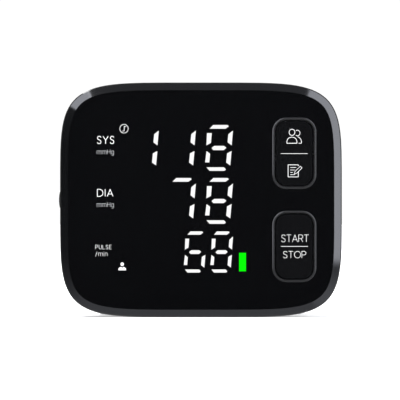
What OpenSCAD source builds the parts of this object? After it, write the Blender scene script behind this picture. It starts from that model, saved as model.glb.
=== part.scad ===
// Wrist blood pressure monitor: a palm-sized monitor that stands on its lower edge, with its pre-curved
// wrist cuff closed behind it.
// X runs to the right across the face, Y from the face to the rear, and Z up. The origin is the middle of
// the footprint of the whole part, on the surface that it stands on. Millimetres.

/* [Monitor outline] */
// Width of the monitor across the face
unit_w = 84; // [80:1:92]
// Height of the monitor
unit_h = 70; // [68:1:78]
// Power of the superellipse outline, where a higher one is squarer
corner_power = 5.3; // [4.8:0.1:6.5]
// Width of the chamfered rim, seen from the front
rim_width = 2.3; // [1.6:0.1:2.8]
// Depth by which the chamfered rim falls back
rim_drop = 1.6; // [1:0.1:2.2]
// Width of the steeper edge round the rim
rim_edge = 0.3; // [0.2:0.05:0.5]
// Flat land between the rim and the face plate
rim_land = 0.25; // [0.15:0.05:0.5]
// Thickness of the face plate
panel_t = 1.5; // [1.2:0.1:1.8]

/* [Housing] */
// Thickness of the monitor at the middle of the wrist saddle
case_depth = 24; // [23.5:0.1:26]
// How far the horns of the saddle reach behind its middle
horn_reach = 5.5; // [3:0.5:7]
// Depth of the joint between the two housings
parting_depth = 9; // [8.6:0.1:9.4]
// Wall thickness of both housings
wall = 1.8; // [1.4:0.1:2]
// Thickness of the front housing's wall behind the face plate
front_wall_t = 1.2; // [1:0.1:1.4]
// Height of the tongue that locates the two housings
tongue_h = 1.1; // [0.8:0.1:1.4]
// Draft of the rear housing, from the joint to where its edge rounds off
case_draft = 0.9; // [0.5:0.1:1.4]
// Depth over which the rear edge rounds off
edge_depth = 10; // [8:0.5:12]
// How far the rounded rear edge draws in
edge_inset = 5; // [4:0.5:6]
// Distance of the case screws from the sides
screw_from_side = 10.2; // [9.8:0.1:11]
// Distance of the case screws from the top and bottom
screw_from_top = 7.4; // [7.1:0.1:7.6]
// Radius of the case screws' shanks
screw_r = 1; // [0.8:0.05:1.1]
// Radius of the front housing's screw bosses
boss_r = 2.1; // [1.9:0.1:2.2]

/* [Keys] */
// Width of a key with its ring
key_w = 13.1; // [12:0.1:14]
// Height of a key with its ring
key_h = 21.3; // [20:0.1:22]
// Corner radius of a key's ring
key_corner = 4.2; // [3.5:0.1:5]
// Width of the ring round a key
ring_w = 0.75; // [0.6:0.05:1]
// Height of the ring over the face
ring_rise = 0.25; // [0.15:0.05:0.4]
// Distance of the keys' middle from the right side
key_from_side = 14.2; // [14:0.1:15]
// Distance between the middles of the two keys
key_pitch = 27.75; // [25:0.25:29]
// Gap between a key and its ring
key_gap = 0.22; // [0.2:0.02:0.3]
// Travel of the start key
key_travel = 0.5; // [0.3:0.05:0.6]
// Distance of the rocker's two contacts from its pivot
rocker_arm = 6; // [5:0.5:6.5]
// Radius of the rocker's pivot pins
pivot_r = 0.9; // [0.7:0.05:1]

/* [Display] */
// Width of the display block
display_w = 34; // [33:0.5:35]
// Height of the display block
display_h = 51.6; // [50:0.2:53]
// How far the display block sits left of the middle
display_left = 1; // [0:0.1:1.5]
// Height of a digit in the two upper rows
digit_h = 13.9; // [12:0.1:14.2]
// Width of a digit in the two upper rows
digit_w = 7.3; // [6:0.1:7.6]
// Distance between digits in the two upper rows
digit_pitch = 11.1; // [9:0.1:11.4]
// Height of the lowest row's digits as a share of the upper rows'
small_tall = 0.9; // [0.75:0.01:0.95]
// Width of the lowest row's digits as a share of the upper rows'
small_wide = 0.82; // [0.7:0.01:0.9]
// Pitch of the lowest row's digits as a share of the upper rows'
small_pitch = 0.706; // [0.7:0.002:0.8]
// Width of a lit bar
bar_w = 1.4; // [1:0.05:1.6]
// Lean of the digits in degrees
digit_lean = 5.3; // [0:0.1:10]
// Width of the level bar beside the lowest row
level_w = 2.2; // [1.4:0.1:2.4]
// Height of the level bar
level_h = 5.7; // [4:0.1:6]
// Thickness of the circuit board
board_t = 1.6; // [1:0.1:1.6]

/* [Battery] */
// Diameter of a battery cell
cell_d = 10.5; // [9.5:0.1:10.5]
// Length of a battery cell with its raised contact
cell_l = 44.5; // [40:0.5:44.5]
// Length of the contact spring behind a cell
spring_l = 3.4; // [3:0.1:3.6]
// Thickness of the battery bay's walls
bay_wall = 0.8; // [0.6:0.05:0.9]
// Clearance of the battery cover in its opening
cover_fit = 0.12; // [0.08:0.02:0.25]
// Width of a contact plate behind a cell
contact_w = 8; // [6:0.5:9]
// Radius of the thumb grip on the battery cover
grip_r = 8.2; // [7:0.1:10]
// How far the thumb grip stands out of the side
grip_rise = 0.7; // [0.5:0.05:1]

/* [Air system] */
// Diameter of the pump
pump_d = 14.4; // [13:0.1:14.4]
// Length of the pump's motor
motor_l = 20; // [16:0.5:20]
// Length of the pump's head
head_l = 13; // [11:0.5:14]
// Outer radius of the air tubes
tube_r = 1.9; // [1.6:0.05:2]
// Outer radius of the barbs in the air tubes
barb_r = 1.15; // [1:0.05:1.2]
// Radius of the air passages
air_r = 0.6; // [0.4:0.05:0.7]
// Width of the exhaust valve
valve_w = 9; // [8:0.5:10]
// Length of the exhaust valve
valve_l = 12; // [10:0.5:13]
// Travel of the exhaust valve's plunger
valve_travel = 0.8; // [0.4:0.1:1]

/* [Cuff] */
// Height of the closed cuff's wrist opening
wrist_h = 54; // [50:0.5:55]
// Depth of the closed cuff's wrist opening
wrist_d = 41; // [38:0.5:44]
// Radius of the round ends of the wrist opening
wrist_end_r = 17; // [15:0.5:18]
// Width of the cuff
cuff_w = 62; // [52:1:70]
// Thickness of the air cushion against the wrist
pad_t = 3.2; // [2.4:0.1:4]
// Thickness of the plastic shell that curves the cuff
curler_t = 1; // [0.8:0.1:1.4]
// Thickness of the outer fabric
cover_t = 0.9; // [0.7:0.1:1.2]
// Thickness of the closing flap
flap_t = 1.6; // [1.2:0.1:1.8]
// Thickness of the hook patch under the flap
hook_t = 0.9; // [0.7:0.1:1]
// Thickness of the plate that hooks the cuff to the housing
plate_t = 1.2; // [1:0.1:1.4]
// Depth of the flat that the cuff rests on
rest_flat = 0.5; // [0.3:0.1:0.8]

/* [Hidden] */
$fn = 48;

// Clearances between pieces
slip = 0.05;
seat_gap = 0.1;
soft_gap = 0.3;
layer_gap = 0.15;
over = 0.5;

// Depths behind the face
wall_back = panel_t + front_wall_t;
board_front = 8;
board_back = board_front + board_t;
cell_side_gap = 0.2;
bay_front = board_back + layer_gap;
cell_depth = bay_front + bay_wall + cell_side_gap + cell_d / 2;
bay_back = cell_depth + cell_d / 2 + cell_side_gap;
boss_end = 15;
case_pilot = 8;
board_pilot = 4;
screw_seat = 20.5;
air_depth = 14;
edge_start = case_depth + horn_reach - edge_depth;
panel_inset = rim_width + rim_land;
tongue_inset = wall / 2;
outline_steps = 96;

// Stack of the cuff, counted outwards from the wrist opening
curler_in = pad_t + layer_gap;
cover_in = curler_in + curler_t + layer_gap;
cuff_t = cover_in + cover_t;
hook_in = cuff_t + soft_gap;
flap_in = hook_in + hook_t + slip;
cuff_out = flap_in + flap_t;
front_arc_r = (pow(wrist_d, 2) / 4 + pow(wrist_h / 2 - wrist_end_r, 2) - pow(wrist_end_r, 2))
    / (wrist_d - 2 * wrist_end_r);
arc_shift = front_arc_r - wrist_d / 2;
end_shift = wrist_h / 2 - wrist_end_r;
arc_switch = atan2(end_shift, arc_shift);
saddle_r = front_arc_r + cuff_t + soft_gap + plate_t + slip;

// Places of the monitor's face and of the middle of the wrist opening
saddle_to_cuff = soft_gap + plate_t + slip;
total_depth = case_depth + saddle_to_cuff + wrist_d + cuff_t + cuff_out;
face_y = -total_depth / 2;
cuff_y = face_y + case_depth + saddle_to_cuff + cuff_t + wrist_d / 2;
cuff_z = wrist_h / 2 + cuff_t - rest_flat;
saddle_v = cuff_z - unit_h / 2;

// Places on the face, from its middle
key_x = unit_w / 2 - key_from_side;
boss_x = unit_w / 2 - screw_from_side;
sleeve_t = 0.6;
block_wall = 0.8;
board_edge = 0.7;
board_notch = 0.4;
post_r = 2;
post_x = display_w / 2 + post_r;
post_from_top = 5.7;
board_screw_r = 0.8;
board_head_r = 2.1 * board_screw_r;
board_head_t = 1.05;
cover_skin = 1.4;
cover_back_x = -unit_w / 2 + case_draft + cover_skin + seat_gap;
cell_outer_x = cover_back_x + cell_side_gap + cell_d / 2 + seat_gap;
cell_inner_x = cell_outer_x + cell_d + cell_side_gap;
bay_inner_x = cell_inner_x + cell_d / 2 + cell_side_gap;
contact_t = 0.4;
bay_half = (cell_l + spring_l + contact_t + 2 * seat_gap) / 2;
bay_end = bay_half + bay_wall;
boss_v = max(unit_h / 2 - screw_from_top, bay_end + boss_r + slip);
post_v = max(unit_h / 2 - post_from_top, max(display_h / 2 + post_r, bay_end + board_head_r) + seat_gap);
manifold_half = 2;
arm_reach = 4.4;
barb_gap = 2;
barb_l = 4;
nipple_r = 2;
nipple_barb_l = 2.8;
barb_end_gap = 0.4;
pump_side_gap = 1.2;
pump_rise = 2.5;
pump_v = -unit_h / 2 + wall + pump_d / 2 + pump_rise;
pump_depth = board_back + board_head_t + layer_gap + pump_d / 2;
bay_side_x = bay_inner_x + bay_wall;
port_least_x = nipple_r + nipple_barb_l + barb_end_gap + arm_reach;
pump_x = max(bay_side_x + pump_side_gap, port_least_x - head_l / 2 - motor_l);
head_x = pump_x + motor_l;
port_x = head_x + head_l / 2;
head_half = pump_d / 2 - 0.4;
valve_v = post_v - board_head_r - soft_gap - valve_l;

// Outline of the monitor, drawn in by an inset along its own normals
function signed_power(value, power) = sign(value) * pow(abs(value), power);
outline_stretch = pow(cos(180 / outline_steps), 2 / corner_power);
function squircle(inset = 0) = [
    for (i = [0:outline_steps - 1])
        let (
            turn = 360 * (i + 0.5) / outline_steps,
            x = unit_w / 2 * signed_power(cos(turn), 2 / corner_power) / outline_stretch,
            y = unit_h / 2 * signed_power(sin(turn), 2 / corner_power) / outline_stretch,
            across = signed_power(2 * x / unit_w, corner_power - 1) / unit_w,
            along = signed_power(2 * y / unit_h, corner_power - 1) / unit_h,
            length = norm([across, along])
        )
        [x - inset * across / length, y - inset * along / length]
];

// Rectangle with round corners, each of 8 steps, drawn in by an inset
function rounded(w, h, r, inset = 0) = [
    for (corner = [0:3], step = [0:8])
        let (
            turn = 90 * corner + 90 * step / 8,
            side_x = corner == 0 || corner == 3 ? 1 : -1,
            side_y = corner < 2 ? 1 : -1
        )
        [side_x * (w / 2 - r) + (r - inset) * cos(turn), side_y * (h / 2 - r) + (r - inset) * sin(turn)]
];

// Places what is drawn on the face: X to the right, Y up, and Z out of the face
module on_face() {
    translate([0, face_y, unit_h / 2]) rotate([90, 0, 0]) children();
}

// Extrudes an outline between two depths behind the face
module slab(from, to) {
    translate([0, 0, -to]) linear_extrude(to - from) children();
}

// Solid through outlines of equal count, each at its own depth, the deepest first
module loft(depths, outlines) {
    count = len(outlines[0]);
    last = len(outlines) - 1;
    polyhedron(
        points = [for (i = [0:last], p = outlines[i]) [p[0], p[1], -depths[i]]],
        faces = concat(
            [[for (j = [0:count - 1]) j]],
            [for (i = [0:last - 1], j = [0:count - 1])
                [i * count + j, (i + 1) * count + j, (i + 1) * count + (j + 1) % count]],
            [for (i = [0:last - 1], j = [0:count - 1])
                [i * count + j, (i + 1) * count + (j + 1) % count, i * count + (j + 1) % count]],
            [[for (j = [count - 1:-1:0]) last * count + j]]
        )
    );
}

// Cylinder along X on the face, centred between two ends
module bar_x(from, to, r) {
    translate([from, 0, 0]) rotate([0, 90, 0]) cylinder(r = r, h = to - from);
}

// Cylinder along the face's height
module bar_v(from, to, r) {
    translate([0, from, 0]) rotate([-90, 0, 0]) cylinder(r = r, h = to - from);
}

// Outer form of the rear housing, its saddle cut in
module rear_form(shrink = 0) {
    turns = [90:(shrink > 0 ? -30 : -15):0];
    depths = concat([for (u = turns) edge_start + (edge_depth - shrink) * sin(u)], [parting_depth]);
    insets = concat([for (u = turns) case_draft + shrink + edge_inset * (1 - cos(u))], [shrink]);
    difference() {
        loft(depths, [for (inset = insets) squircle(inset)]);
        translate([0, saddle_v, -(case_depth + saddle_r)]) rotate([0, 90, 0])
            cylinder(r = saddle_r + shrink, h = unit_w + 20, center = true, $fn = 120);
    }
}

function saddle_depth(rise) = case_depth + saddle_r - sqrt(pow(saddle_r, 2) - pow(rise, 2));

// The two keys' places, upper first
module at_key(row) {
    translate([key_x, (0.5 - row) * key_pitch, 0]) children();
}

module key_outline(grow = 0) {
    polygon(rounded(key_w, key_h, key_corner, -grow));
}

module front_panel() {
    color("#0e0f11") on_face() difference() {
        slab(0, panel_t) polygon(squircle(panel_inset + slip));
        for (row = [0, 1]) at_key(row) slab(-over, panel_t + over) key_outline(slip);
    }
}

module front_case() {
    color("#2a2b2c") on_face() difference() {
        union() {
            difference() {
                loft([parting_depth, rim_drop + rim_edge, rim_drop * (1 - rim_edge / rim_width), 0],
                    [for (inset = [0, 0, rim_edge, rim_width]) squircle(inset)]);
                slab(-over, panel_t) polygon(squircle(panel_inset));
                slab(wall_back, parting_depth + over) polygon(squircle(wall));
                slab(parting_depth - tongue_h - seat_gap, parting_depth + over)
                    polygon(squircle(tongue_inset));
                translate([-display_left, 0, 0]) slab(panel_t - over, wall_back + over)
                    polygon(rounded(display_w - 2 * block_wall, display_h - 2 * block_wall, 1));
                for (row = [0, 1]) at_key(row) slab(panel_t - over, wall_back + over)
                    key_outline(-ring_w);
            }
            for (side = [-1, 1], rise = [-1, 1]) {
                translate([side * boss_x, rise * boss_v, 0]) slab(wall_back - over, boss_end)
                    circle(boss_r);
                translate([side * post_x, rise * post_v, 0]) slab(wall_back - over, board_front)
                    circle(post_r);
            }
            at_key(0) rocker_bearings();
        }
        for (side = [-1, 1], rise = [-1, 1]) {
            translate([side * boss_x, rise * boss_v, 0]) slab(boss_end - case_pilot, boss_end + over)
                circle(screw_r + slip);
            translate([side * post_x, rise * post_v, 0]) slab(board_front - board_pilot, board_front + over)
                circle(board_screw_r + slip);
        }
    }
}

// Depth of the rocker's pivot, and the reach of its pins to each side
rocker_depth = wall_back + pivot_r + seat_gap;
pin_reach = key_w / 2 + 0.9;
bearing_t = 1.2;
bearing_w = 4.4;
bearing_drop = 1.5;

module rocker_bearings() {
    for (side = [-1, 1]) translate([side * (pin_reach - bearing_t / 2 - seat_gap), 0, 0]) difference() {
        slab(wall_back - over, rocker_depth + bearing_drop) square([bearing_t, bearing_w], center = true);
        translate([0, 0, -rocker_depth]) bar_x(-bearing_t, bearing_t, pivot_r + slip);
        slab(rocker_depth, rocker_depth + bearing_drop + over)
            square([2 * bearing_t, 2 * (pivot_r + slip)], center = true);
    }
}

ring_bevel = 0.3;
ring_slope = 0.32;

module key_ring(row) {
    color("#4a4b4d") on_face() at_key(row) difference() {
        loft([panel_t, 0, -ring_rise],
            [for (inset = [0, 0, ring_bevel]) rounded(key_w, key_h, key_corner, inset)]);
        loft([panel_t + over, slip, -ring_rise - slip],
            [for (inset = [ring_w, ring_w, ring_w - ring_slope]) rounded(key_w, key_h, key_corner, inset)]);
    }
}

key_rise = 0.1;
key_bevel = 0.3;

// Cap of a key, from its bevelled top down to a depth
module key_cap(to) {
    loft([to, key_bevel - key_rise, -key_rise],
        [for (inset = [0, 0, key_bevel]) rounded(key_w, key_h, key_corner, ring_w + key_gap + inset)]);
}

module memory_key() {
    color("#17181a") on_face() at_key(0) {
        key_cap(rocker_depth + 2 * seat_gap);
        for (side = [-1, 1]) translate([0, 0, -rocker_depth]) scale([side, 1, 1])
            bar_x(key_w / 2 - ring_w - 1.5, pin_reach, pivot_r);
        for (rise = [-1, 1]) translate([0, rise * rocker_arm, 0])
            slab(rocker_depth, stem_end) circle(stem_r);
    }
}

stem_end = wall_back + 1.5;
stem_r = 2;
flange_t = 0.75;

module start_key() {
    color("#17181a") on_face() at_key(1) {
        key_cap(wall_back + slip + over);
        slab(wall_back + slip, wall_back + slip + flange_t) key_outline(seat_gap);
        slab(wall_back + slip + over, stem_end) circle(stem_r);
    }
}

mat_t = 0.6;
mat_base = board_front - slip - mat_t;
dome_foot_r = 3.4;
dome_top_r = 2.4;
puck_r = 1.5;
mat_edge = 0.1;
mat_corner = 2;

// Silicone mat with one dome for each place in a list
module key_mat(row, rises) {
    color("#8f9294") on_face() at_key(row) {
        slab(mat_base, mat_base + mat_t) polygon(rounded(key_w + 2 * mat_edge, key_h + 2 * mat_edge, mat_corner));
        for (rise = rises) translate([0, rise, 0]) {
            translate([0, 0, -mat_base - slip])
                cylinder(r1 = dome_foot_r, r2 = dome_top_r, h = mat_base - stem_end - over);
            slab(stem_end + slip, mat_base) circle(puck_r);
        }
    }
}

module circuit_board() {
    color("#1f5a3a") on_face() slab(board_front, board_back) difference() {
        polygon(squircle(wall + board_edge));
        for (side = [-1, 1], rise = [-1, 1]) {
            translate([side * boss_x, rise * boss_v]) circle(boss_r + board_notch);
            translate([side * post_x, rise * post_v]) circle(board_screw_r + seat_gap);
        }
    }
}

// Seven-segment digits: a bar is a hexagon, and each digit leans by the same angle
bar_room = 0.25;
function lean(p) = [p[0] + p[1] * tan(digit_lean), p[1]];
function bar_flat(l, t, x, y) = [
    for (p = [[-l / 2, 0], [-l / 2 + t / 2, -t / 2], [l / 2 - t / 2, -t / 2],
            [l / 2, 0], [l / 2 - t / 2, t / 2], [-l / 2 + t / 2, t / 2]])
        lean([p[0] + x, p[1] + y])
];
function bar_up(l, t, x, y) = [
    for (p = [[0, -l / 2], [t / 2, -l / 2 + t / 2], [t / 2, l / 2 - t / 2],
            [0, l / 2], [-t / 2, l / 2 - t / 2], [-t / 2, -l / 2 + t / 2]])
        lean([p[0] + x, p[1] + y])
];

// Bars of one digit, all seven or only the two of a leading 1, grown by a fit
module digit_bars(w, h, t, only_one, grow) {
    long = w - t - bar_room + grow;
    tall = (h - t) / 2 - bar_room + grow;
    if (!only_one) {
        for (row = [-1, 0, 1]) polygon(bar_flat(long, t + grow, 0, row * (h - t) / 2));
        for (row = [-1, 1]) polygon(bar_up(tall, t + grow, -(w - t) / 2, row * (h - t) / 4));
    }
    for (row = [-1, 1]) polygon(bar_up(tall, t + grow, (w - t) / 2, row * (h - t) / 4));
}

// Rows of digits, upper first: middle of the last digit, and shares of width, height and pitch
rows = [
    [5.4, 15.5, 1, 1, 1],
    [5.4, -0.3, 1, 1, 1],
    [6.1, -15.5, small_wide, small_tall, small_pitch]
];
level_x = 12.5;
level_drop = 3;

module lit_shapes(grow = 0) {
    for (row = rows, place = [0:2]) translate([row[0] - place * digit_pitch * row[4], row[1]])
        digit_bars(digit_w * row[2], digit_h * row[3], bar_w * row[3], place == 2, grow);
    translate([level_x, rows[2][1] - level_drop]) square([level_w + grow, level_h + grow], center = true);
}

display_front = wall_back + seat_gap;
bars_back = display_front + 1.4;
sheet_t = 0.6;
sheet_room = 0.2;
sheet_inset = block_wall + seat_gap;
block_floor = 1.2;

module display_housing() {
    color("#1a1a1c") on_face() difference() {
        translate([-display_left, 0, 0]) slab(display_front, board_front - seat_gap)
            square([display_w, display_h], center = true);
        slab(display_front - over, bars_back + sheet_room) lit_shapes(2 * slip);
        translate([-display_left, 0, 0]) slab(bars_back, board_front - block_floor)
            square([display_w - 2 * block_wall, display_h - 2 * block_wall], center = true);
    }
}

module display_segments() {
    color("#f4f6f8") on_face() {
        slab(display_front + slip, bars_back + sheet_t / 2) lit_shapes();
        translate([-display_left, 0, 0]) slab(bars_back + slip, bars_back + slip + sheet_t)
            square([display_w - 2 * sheet_inset, display_h - 2 * sheet_inset], center = true);
    }
}

// Rear housing: shell, battery bay, screw posts, pump cradle and the slots of the cuff plate
module rear_case() {
    color("#232426") on_face() difference() {
        union() {
            difference() {
                rear_form();
                rear_form(wall);
                slab(parting_depth - over, edge_start) polygon(squircle(case_draft + wall));
            }
            slab(parting_depth - tongue_h, parting_depth + 1.5) difference() {
                polygon(squircle(tongue_inset + slip));
                polygon(squircle(wall));
            }
            intersection() {
                rear_form();
                union() {
                    bay_block();
                    for (side = [-1, 1], rise = [-1, 1]) translate([side * boss_x, rise * boss_v, 0])
                        slab(boss_end + slip, case_depth + horn_reach) circle(boss_r + sleeve_t);
                    for (step = [0.25, 0.75]) translate([pump_x + step * motor_l, pump_v, 0])
                        slab(pump_depth, case_depth + horn_reach)
                            square([bearing_t, pump_d + 2 * bay_wall], center = true);
                }
            }
        }
        bay_room();
        cover_opening(cover_fit);
        translate([0, pump_v, -pump_depth]) bar_x(pump_x - 1, head_x, pump_d / 2 - seat_gap);
        for (side = [-1, 1], rise = [-1, 1]) translate([side * boss_x, rise * boss_v, 0]) {
            slab(parting_depth - tongue_h - over, boss_end + slip) circle(boss_r + seat_gap);
            slab(boss_end - over, screw_seat + over) circle(screw_r + seat_gap);
            slab(screw_seat, case_depth + horn_reach + over) circle(screw_head_r + soft_gap);
        }
        at_hooks() slab(bay_back, case_depth + horn_reach)
            square([hook_w + 2 * hook_gap, hook_bar_t + hook_lip + 2 * hook_gap], center = true);
        translate([0, saddle_v, 0]) slab(bay_back - 1, case_depth + over) circle(nipple_r + 2 * seat_gap);
    }
}

module bay_block() {
    translate([(cover_back_x + bay_side_x) / 2, 0, 0])
        slab(bay_front, case_depth + horn_reach)
            square([bay_side_x - cover_back_x, 2 * bay_end], center = true);
}

module bay_room() {
    translate([(cover_back_x + bay_inner_x) / 2, 0, 0])
        slab(bay_front + bay_wall, bay_back)
            square([bay_inner_x - cover_back_x + 0.02, 2 * bay_half], center = true);
}

// The opening of the battery bay in the left side, from outside the wall to the cover's back face
cover_w = 2 * bay_half + 1.6;
cover_d = bay_back - bay_front - bay_wall + 0.7;
module cover_opening(fit) {
    translate([-unit_w / 2 - 2, 0, -(bay_front + bay_wall + bay_back) / 2]) rotate([90, 0, 90])
        linear_extrude(cover_back_x + unit_w / 2 + 2) polygon(rounded(cover_w, cover_d, 2, -fit));
}

// Battery cover: a piece of the side wall with a thumb grip, and lugs that reach into the bay
lug_reach = 1.7;
lug_w = 8;
lug_t = 0.7;
grip_w = 9;
grip_d = 10;
groove_w = 0.7;
groove_t = 0.35;
groove_pitch = 1.9;

// Grooves across the thumb grip that leave its highest line whole
module grip_grooves() {
    translate([-unit_w / 2 - grip_rise + 1.5 * grip_r, 0, -cell_depth]) rotate([90, 0, 0]) difference() {
        for (step = [-1.5:1.5]) rotate([0, 0, 180 + step * groove_pitch * 180 / (PI * 1.5 * grip_r)])
            translate([1.5 * grip_r, 0, 0]) cube([2, groove_w, 2 * grip_rise + grip_w - 2], center = true);
        cylinder(r = 1.5 * grip_r - groove_t, h = 3 * grip_r, center = true);
    }
}

module battery_cover() {
    color("#1d1e20") on_face() {
        intersection() {
            rear_form();
            cover_opening(0);
        }
        difference() {
            intersection() {
                translate([-unit_w / 2 - grip_rise + grip_r, 0, -cell_depth])
                    cylinder(r = grip_r, h = grip_w, center = true);
                translate([-unit_w / 2 - grip_rise + 1.5 * grip_r, 0, -cell_depth]) rotate([90, 0, 0])
                    cylinder(r = 1.5 * grip_r, h = 3 * grip_r, center = true);
                translate([-unit_w / 2 - grip_rise - over, -grip_r, -cell_depth - grip_d / 2])
                    cube([cover_back_x + unit_w / 2 + grip_rise + over - slip, 2 * grip_r, grip_d]);
            }
            grip_grooves();
        }
        for (rise = [-1, 1], side = [-1, 1])
            translate([cover_back_x - over, rise * bay_half * 0.6 - lug_w / 2,
                    side > 0 ? -(bay_front + bay_wall) - seat_gap - lug_t : -bay_back + seat_gap])
                cube([lug_reach + over, lug_w, lug_t]);
    }
}

nub_l = 0.8;
nub_r = 2.75;
cell_end = bay_half - seat_gap - contact_t - slip;
module battery_cell(x, up) {
    color("#3f6f9f") on_face() translate([x, 0, -cell_depth]) scale([1, up, 1]) {
        bar_v(cell_end - cell_l, cell_end - nub_l, cell_d / 2);
        bar_v(cell_end - nub_l - over, cell_end, nub_r);
    }
}

// Conical contact spring as one unbroken tube with six sides
spring_turns = 3;
spring_steps = 10;
spring_wire_r = 0.3;
function spring_spot(i) =
    let (share = i / (spring_turns * spring_steps), turn = 360 * i / spring_steps, r = 3.6 - 1.5 * share)
    [r * cos(turn), r * sin(turn), spring_wire_r + share * (spring_l - 2 * spring_wire_r)];
spring_gap = min([
    for (i = [0:spring_turns * spring_steps], j = [i + spring_steps / 2:1:spring_turns * spring_steps])
        norm(spring_spot(i) - spring_spot(j)) - 2 * spring_wire_r
]);
echo(least_gap_between_spring_turns = spring_gap);

module spring_coil() {
    last = spring_turns * spring_steps;
    sides = 6;
    polyhedron(
        points = [
            for (i = [0:last], k = [0:sides - 1])
                let (
                    spot = spring_spot(i),
                    turn = 360 * i / spring_steps,
                    way = 360 * k / sides,
                    r = norm([spot[0], spot[1]]) + spring_wire_r * cos(way)
                )
                [r * cos(turn), r * sin(turn), spot[2] + spring_wire_r * sin(way)]
        ],
        faces = concat(
            [[for (k = [0:sides - 1]) k]],
            [for (i = [0:last - 1], k = [0:sides - 1])
                [i * sides + k, (i + 1) * sides + k, (i + 1) * sides + (k + 1) % sides]],
            [for (i = [0:last - 1], k = [0:sides - 1])
                [i * sides + k, (i + 1) * sides + (k + 1) % sides, i * sides + (k + 1) % sides]],
            [[for (k = [sides - 1:-1:0]) last * sides + k]]
        )
    );
}

module battery_springs() {
    color("#c9cccf") on_face() {
        translate([cell_outer_x, -bay_half + slip, -cell_depth]) rotate([-90, 0, 0]) spring_coil();
        translate([cell_inner_x, bay_half - slip, -cell_depth]) rotate([90, 0, 0]) spring_coil();
    }
}

module battery_plates() {
    color("#c9cccf") on_face() for (end = [[cell_outer_x, 1], [cell_inner_x, -1]])
        translate([end[0], end[1] * (bay_half - seat_gap - contact_t / 2), -cell_depth])
            cube([contact_w, contact_t, contact_w], center = true);
}

// Processor on the board's rear face, with its pins along two sides
chip_w = 10;
chip_t = 1.4;
chip_v = 12;
chip_gap = 0.85;
pin_w = 0.5;
pin_pitch = 1.2;
pin_l = 1;
chip_x = bay_side_x + chip_gap + pin_l + (chip_w + over) / 2;
module processor_chip() {
    color("#202124") on_face() translate([chip_x, chip_v, 0]) {
        slab(board_back + 3 * slip, board_back + chip_t) square(chip_w, center = true);
        for (side = [-1, 1], step = [-3:3]) translate([side * (chip_w + pin_l) / 2, step * pin_pitch, 0])
            slab(board_back + slip, board_back + chip_t / 2) square([pin_l + over, pin_w], center = true);
    }
}

buzzer_r = 5;
buzzer_t = 3.6;
sound_hole_r = 1.2;
buzzer_gap = 2;
buzzer_x = max(key_x, port_x + valve_w / 2 + soft_gap + buzzer_r);
module buzzer() {
    color("#26272a") on_face() translate([buzzer_x, boss_v - boss_r - buzzer_r - buzzer_gap, 0]) difference() {
        slab(board_back + slip, board_back + buzzer_t) circle(buzzer_r);
        slab(board_back + buzzer_t - 1, board_back + buzzer_t + over) circle(sound_hole_r);
    }
}

// Pressure sensor, its barb facing the manifold
sensor_w = 9;
sensor_h = 10;
sensor_x = port_x + arm_reach + barb_gap + barb_l + sensor_w / 2;
module pressure_sensor() {
    color("#dfe2e4") on_face() difference() {
        union() {
            translate([sensor_x, saddle_v, 0]) slab(board_back + slip, air_depth + 2)
                square([sensor_w, sensor_h], center = true);
            translate([0, saddle_v, -air_depth])
                bar_x(sensor_x - sensor_w / 2 - barb_l, sensor_x - sensor_w / 2 + over, barb_r);
        }
        translate([0, saddle_v, -air_depth])
            bar_x(sensor_x - sensor_w / 2 - barb_l - over, sensor_x, air_r);
    }
}

shaft_r = 1;
shaft_bearing_r = 2.6;
crank_r = 3.2;
crank_shift = 0.9;
shaft_seat = 6;
bearing_stub = 0.8;
tie_r = 1.4;
tie_stub = 0.6;
module pump_motor() {
    color("#b9bcc0") on_face() translate([0, pump_v, -pump_depth]) difference() {
        union() {
            bar_x(pump_x, head_x - slip, pump_d / 2 - 2 * seat_gap);
            bar_x(pump_x - bearing_stub, pump_x + over, shaft_bearing_r);
        }
        bar_x(head_x - shaft_seat, head_x + over, shaft_r + slip);
    }
}

module pump_head() {
    color("#e8e6e0") on_face() translate([0, pump_v, -pump_depth]) difference() {
        union() {
            translate([head_x, 0, 0]) rotate([90, 0, 90]) linear_extrude(head_l)
                polygon(rounded(2 * head_half, 2 * head_half, head_corner));
            for (spot = [-1, 1]) translate([0, 0, spot * head_corner])
                bar_x(head_x + 1, head_x + head_l + tie_stub, tie_r);
            translate([port_x, 0, pump_depth - air_depth]) bar_v(head_half - 1, port_end - pump_v, barb_r);
        }
        bar_x(head_x - over, head_x + crank_room, crank_r + crank_shift + over);
        translate([port_x, 0, pump_depth - air_depth]) bar_v(head_half - 2, port_end - pump_v + over, air_r);
    }
}
head_corner = 2.5;
crank_room = head_l - 3;
port_end = saddle_v - arm_reach - barb_gap;

module pump_shaft() {
    color("#9a9da1") on_face() translate([0, pump_v, -pump_depth]) {
        bar_x(head_x - shaft_seat + over, head_x + crank_room / 2, shaft_r);
        translate([0, -crank_shift, 0]) bar_x(head_x + 2, head_x + crank_room / 2 - over, crank_r);
    }
}

plunger_r = 1.5;
plunger_cap_r = 2.2;
cap_t = 0.6;
valve_seat = 3;
module valve_body() {
    color("#c4c7ca") on_face() difference() {
        union() {
            translate([port_x, valve_v + valve_l / 2, 0]) slab(board_back + layer_gap, air_depth + valve_w / 2)
                square([valve_w, valve_l], center = true);
            translate([port_x, 0, -air_depth]) bar_v(valve_v - barb_l, valve_v + 1, barb_r);
        }
        translate([port_x, 0, -air_depth]) {
            bar_v(valve_v - barb_l - over, valve_v + valve_seat, air_r);
            bar_v(valve_v + valve_seat, valve_v + valve_l + over, plunger_r + slip);
        }
    }
}

module valve_plunger() {
    color("#8d9094") on_face() translate([port_x, 0, -air_depth]) {
        bar_v(valve_v + valve_seat + 2 * seat_gap, valve_v + valve_l + valve_travel + cap_t, plunger_r);
        bar_v(valve_v + valve_l + valve_travel + seat_gap, valve_v + valve_l + valve_travel + seat_gap + cap_t,
            plunger_cap_r);
    }
}

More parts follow.
